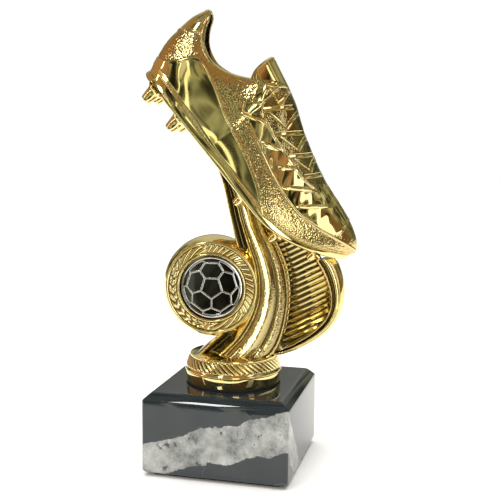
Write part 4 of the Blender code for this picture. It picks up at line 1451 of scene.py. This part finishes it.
def build_world():
    """White to the camera; a dim room with soft panels for everything that reflects it."""
    world = bpy.data.worlds.new("studio")
    bpy.context.scene.world = world
    world.use_nodes = True
    tree = world.node_tree
    tree.nodes.clear()
    coordinates = tree.nodes.new("ShaderNodeTexCoord")
    direction = coordinates.outputs["Generated"]
    mapping = tree.nodes.new("ShaderNodeMapping")
    mapping.inputs["Scale"].default_value = (1.0, 1.0, 0.45)
    mapping.inputs["Location"].default_value = (3.1, 0.7, 1.9)
    tree.links.new(direction, mapping.inputs["Vector"])
    patches = noise(tree, mapping.outputs["Vector"], 4.2, 2.0)
    colour = colour_ramp(tree, patches, [
        (0.36, (0.015, 0.014, 0.008)), (0.43, (0.08, 0.082, 0.048)), (0.51, (0.40, 0.42, 0.28)),
        (0.57, (0.07, 0.065, 0.04)), (0.67, (0.70, 0.70, 0.55)),
    ])
    for vector, start, full, paint in ROOM_PANELS:
        dot = tree.nodes.new("ShaderNodeVectorMath")
        dot.operation = "DOT_PRODUCT"
        length = math.sqrt(sum(value * value for value in vector))
        dot.inputs[1].default_value = [value / length for value in vector]
        tree.links.new(direction, dot.inputs[0])
        share = map_range(tree, dot.outputs["Value"], start, full, 0.0, 1.0, "SMOOTHSTEP")
        colour = mix_colour(tree, share, colour, paint)
    room = tree.nodes.new("ShaderNodeBackground")
    tree.links.new(colour, room.inputs["Color"])
    white = tree.nodes.new("ShaderNodeBackground")
    white.inputs["Color"].default_value = (1.0, 1.0, 1.0, 1.0)
    path = tree.nodes.new("ShaderNodeLightPath")
    mix = tree.nodes.new("ShaderNodeMixShader")
    tree.links.new(path.outputs["Is Camera Ray"], mix.inputs["Fac"])
    tree.links.new(room.outputs[0], mix.inputs[1])
    tree.links.new(white.outputs[0], mix.inputs[2])
    output = tree.nodes.new("ShaderNodeOutputWorld")
    tree.links.new(mix.outputs[0], output.inputs["Surface"])


FLOOR_RADIUS = 1250.0
FLOOR_BACK = 1130.0            # its centre is this far behind the trophy
FLOOR_SIDES = 96
FLOOR_DROP = 0.00005


def build_floor():
    """A round sheet of pale paper, set back so that the room in front stays dim."""
    shape = Shape()
    sheet = [(0.0, FLOOR_BACK, 0.0)]
    for step in range(FLOOR_SIDES):
        angle = 2 * math.pi * step / FLOOR_SIDES
        sheet.append((FLOOR_RADIUS * math.cos(angle), FLOOR_BACK + FLOOR_RADIUS * math.sin(angle), 0.0))
    shape.add_points(sheet)
    for step in range(FLOOR_SIDES):
        shape.add_face((0, 1 + step, 1 + (step + 1) % FLOOR_SIDES))
    paper = plain_material("pale_paper", (0.84, 0.84, 0.84), (0.88, 0.88, 0.88), 0.8, 40.0, bump_size=0.0)
    floor = shape.make("floor", WORLD, [paper])
    floor.location.z = pad_low.z - FLOOR_DROP


def build_sun():
    """Even light from above for the floor, which leaves no reflection."""
    data = bpy.data.lights.new("overhead", "SUN")
    data.energy = SUN_POWER
    data.angle = math.radians(SUN_SPREAD)
    add_object("overhead", data).visible_glossy = False


def dress_hidden_nodes():
    """The hidden CAD pieces keep their shape and get their own finish."""
    finishes = {"base_bolt": steel, "base_washer": steel, "captive_nut": steel, "medallion_foam_pad": foam}
    for name, material in finishes.items():
        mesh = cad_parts[name].data
        mesh.materials.clear()
        mesh.materials.append(material)


build_camera()
build_world()
build_floor()
bpy.context.scene.view_settings.view_transform = "Standard"
for box_name, settings in SOFT_BOXES.items():
    soft_box(box_name, *settings)
build_sun()

build_block()
build_pad()
build_gasket()
build_foot()
build_column()
build_rim()
build_web()
build_ring()
build_insert()
build_upper()
build_tongue()
build_laces()
build_sole()
dress_hidden_nodes()
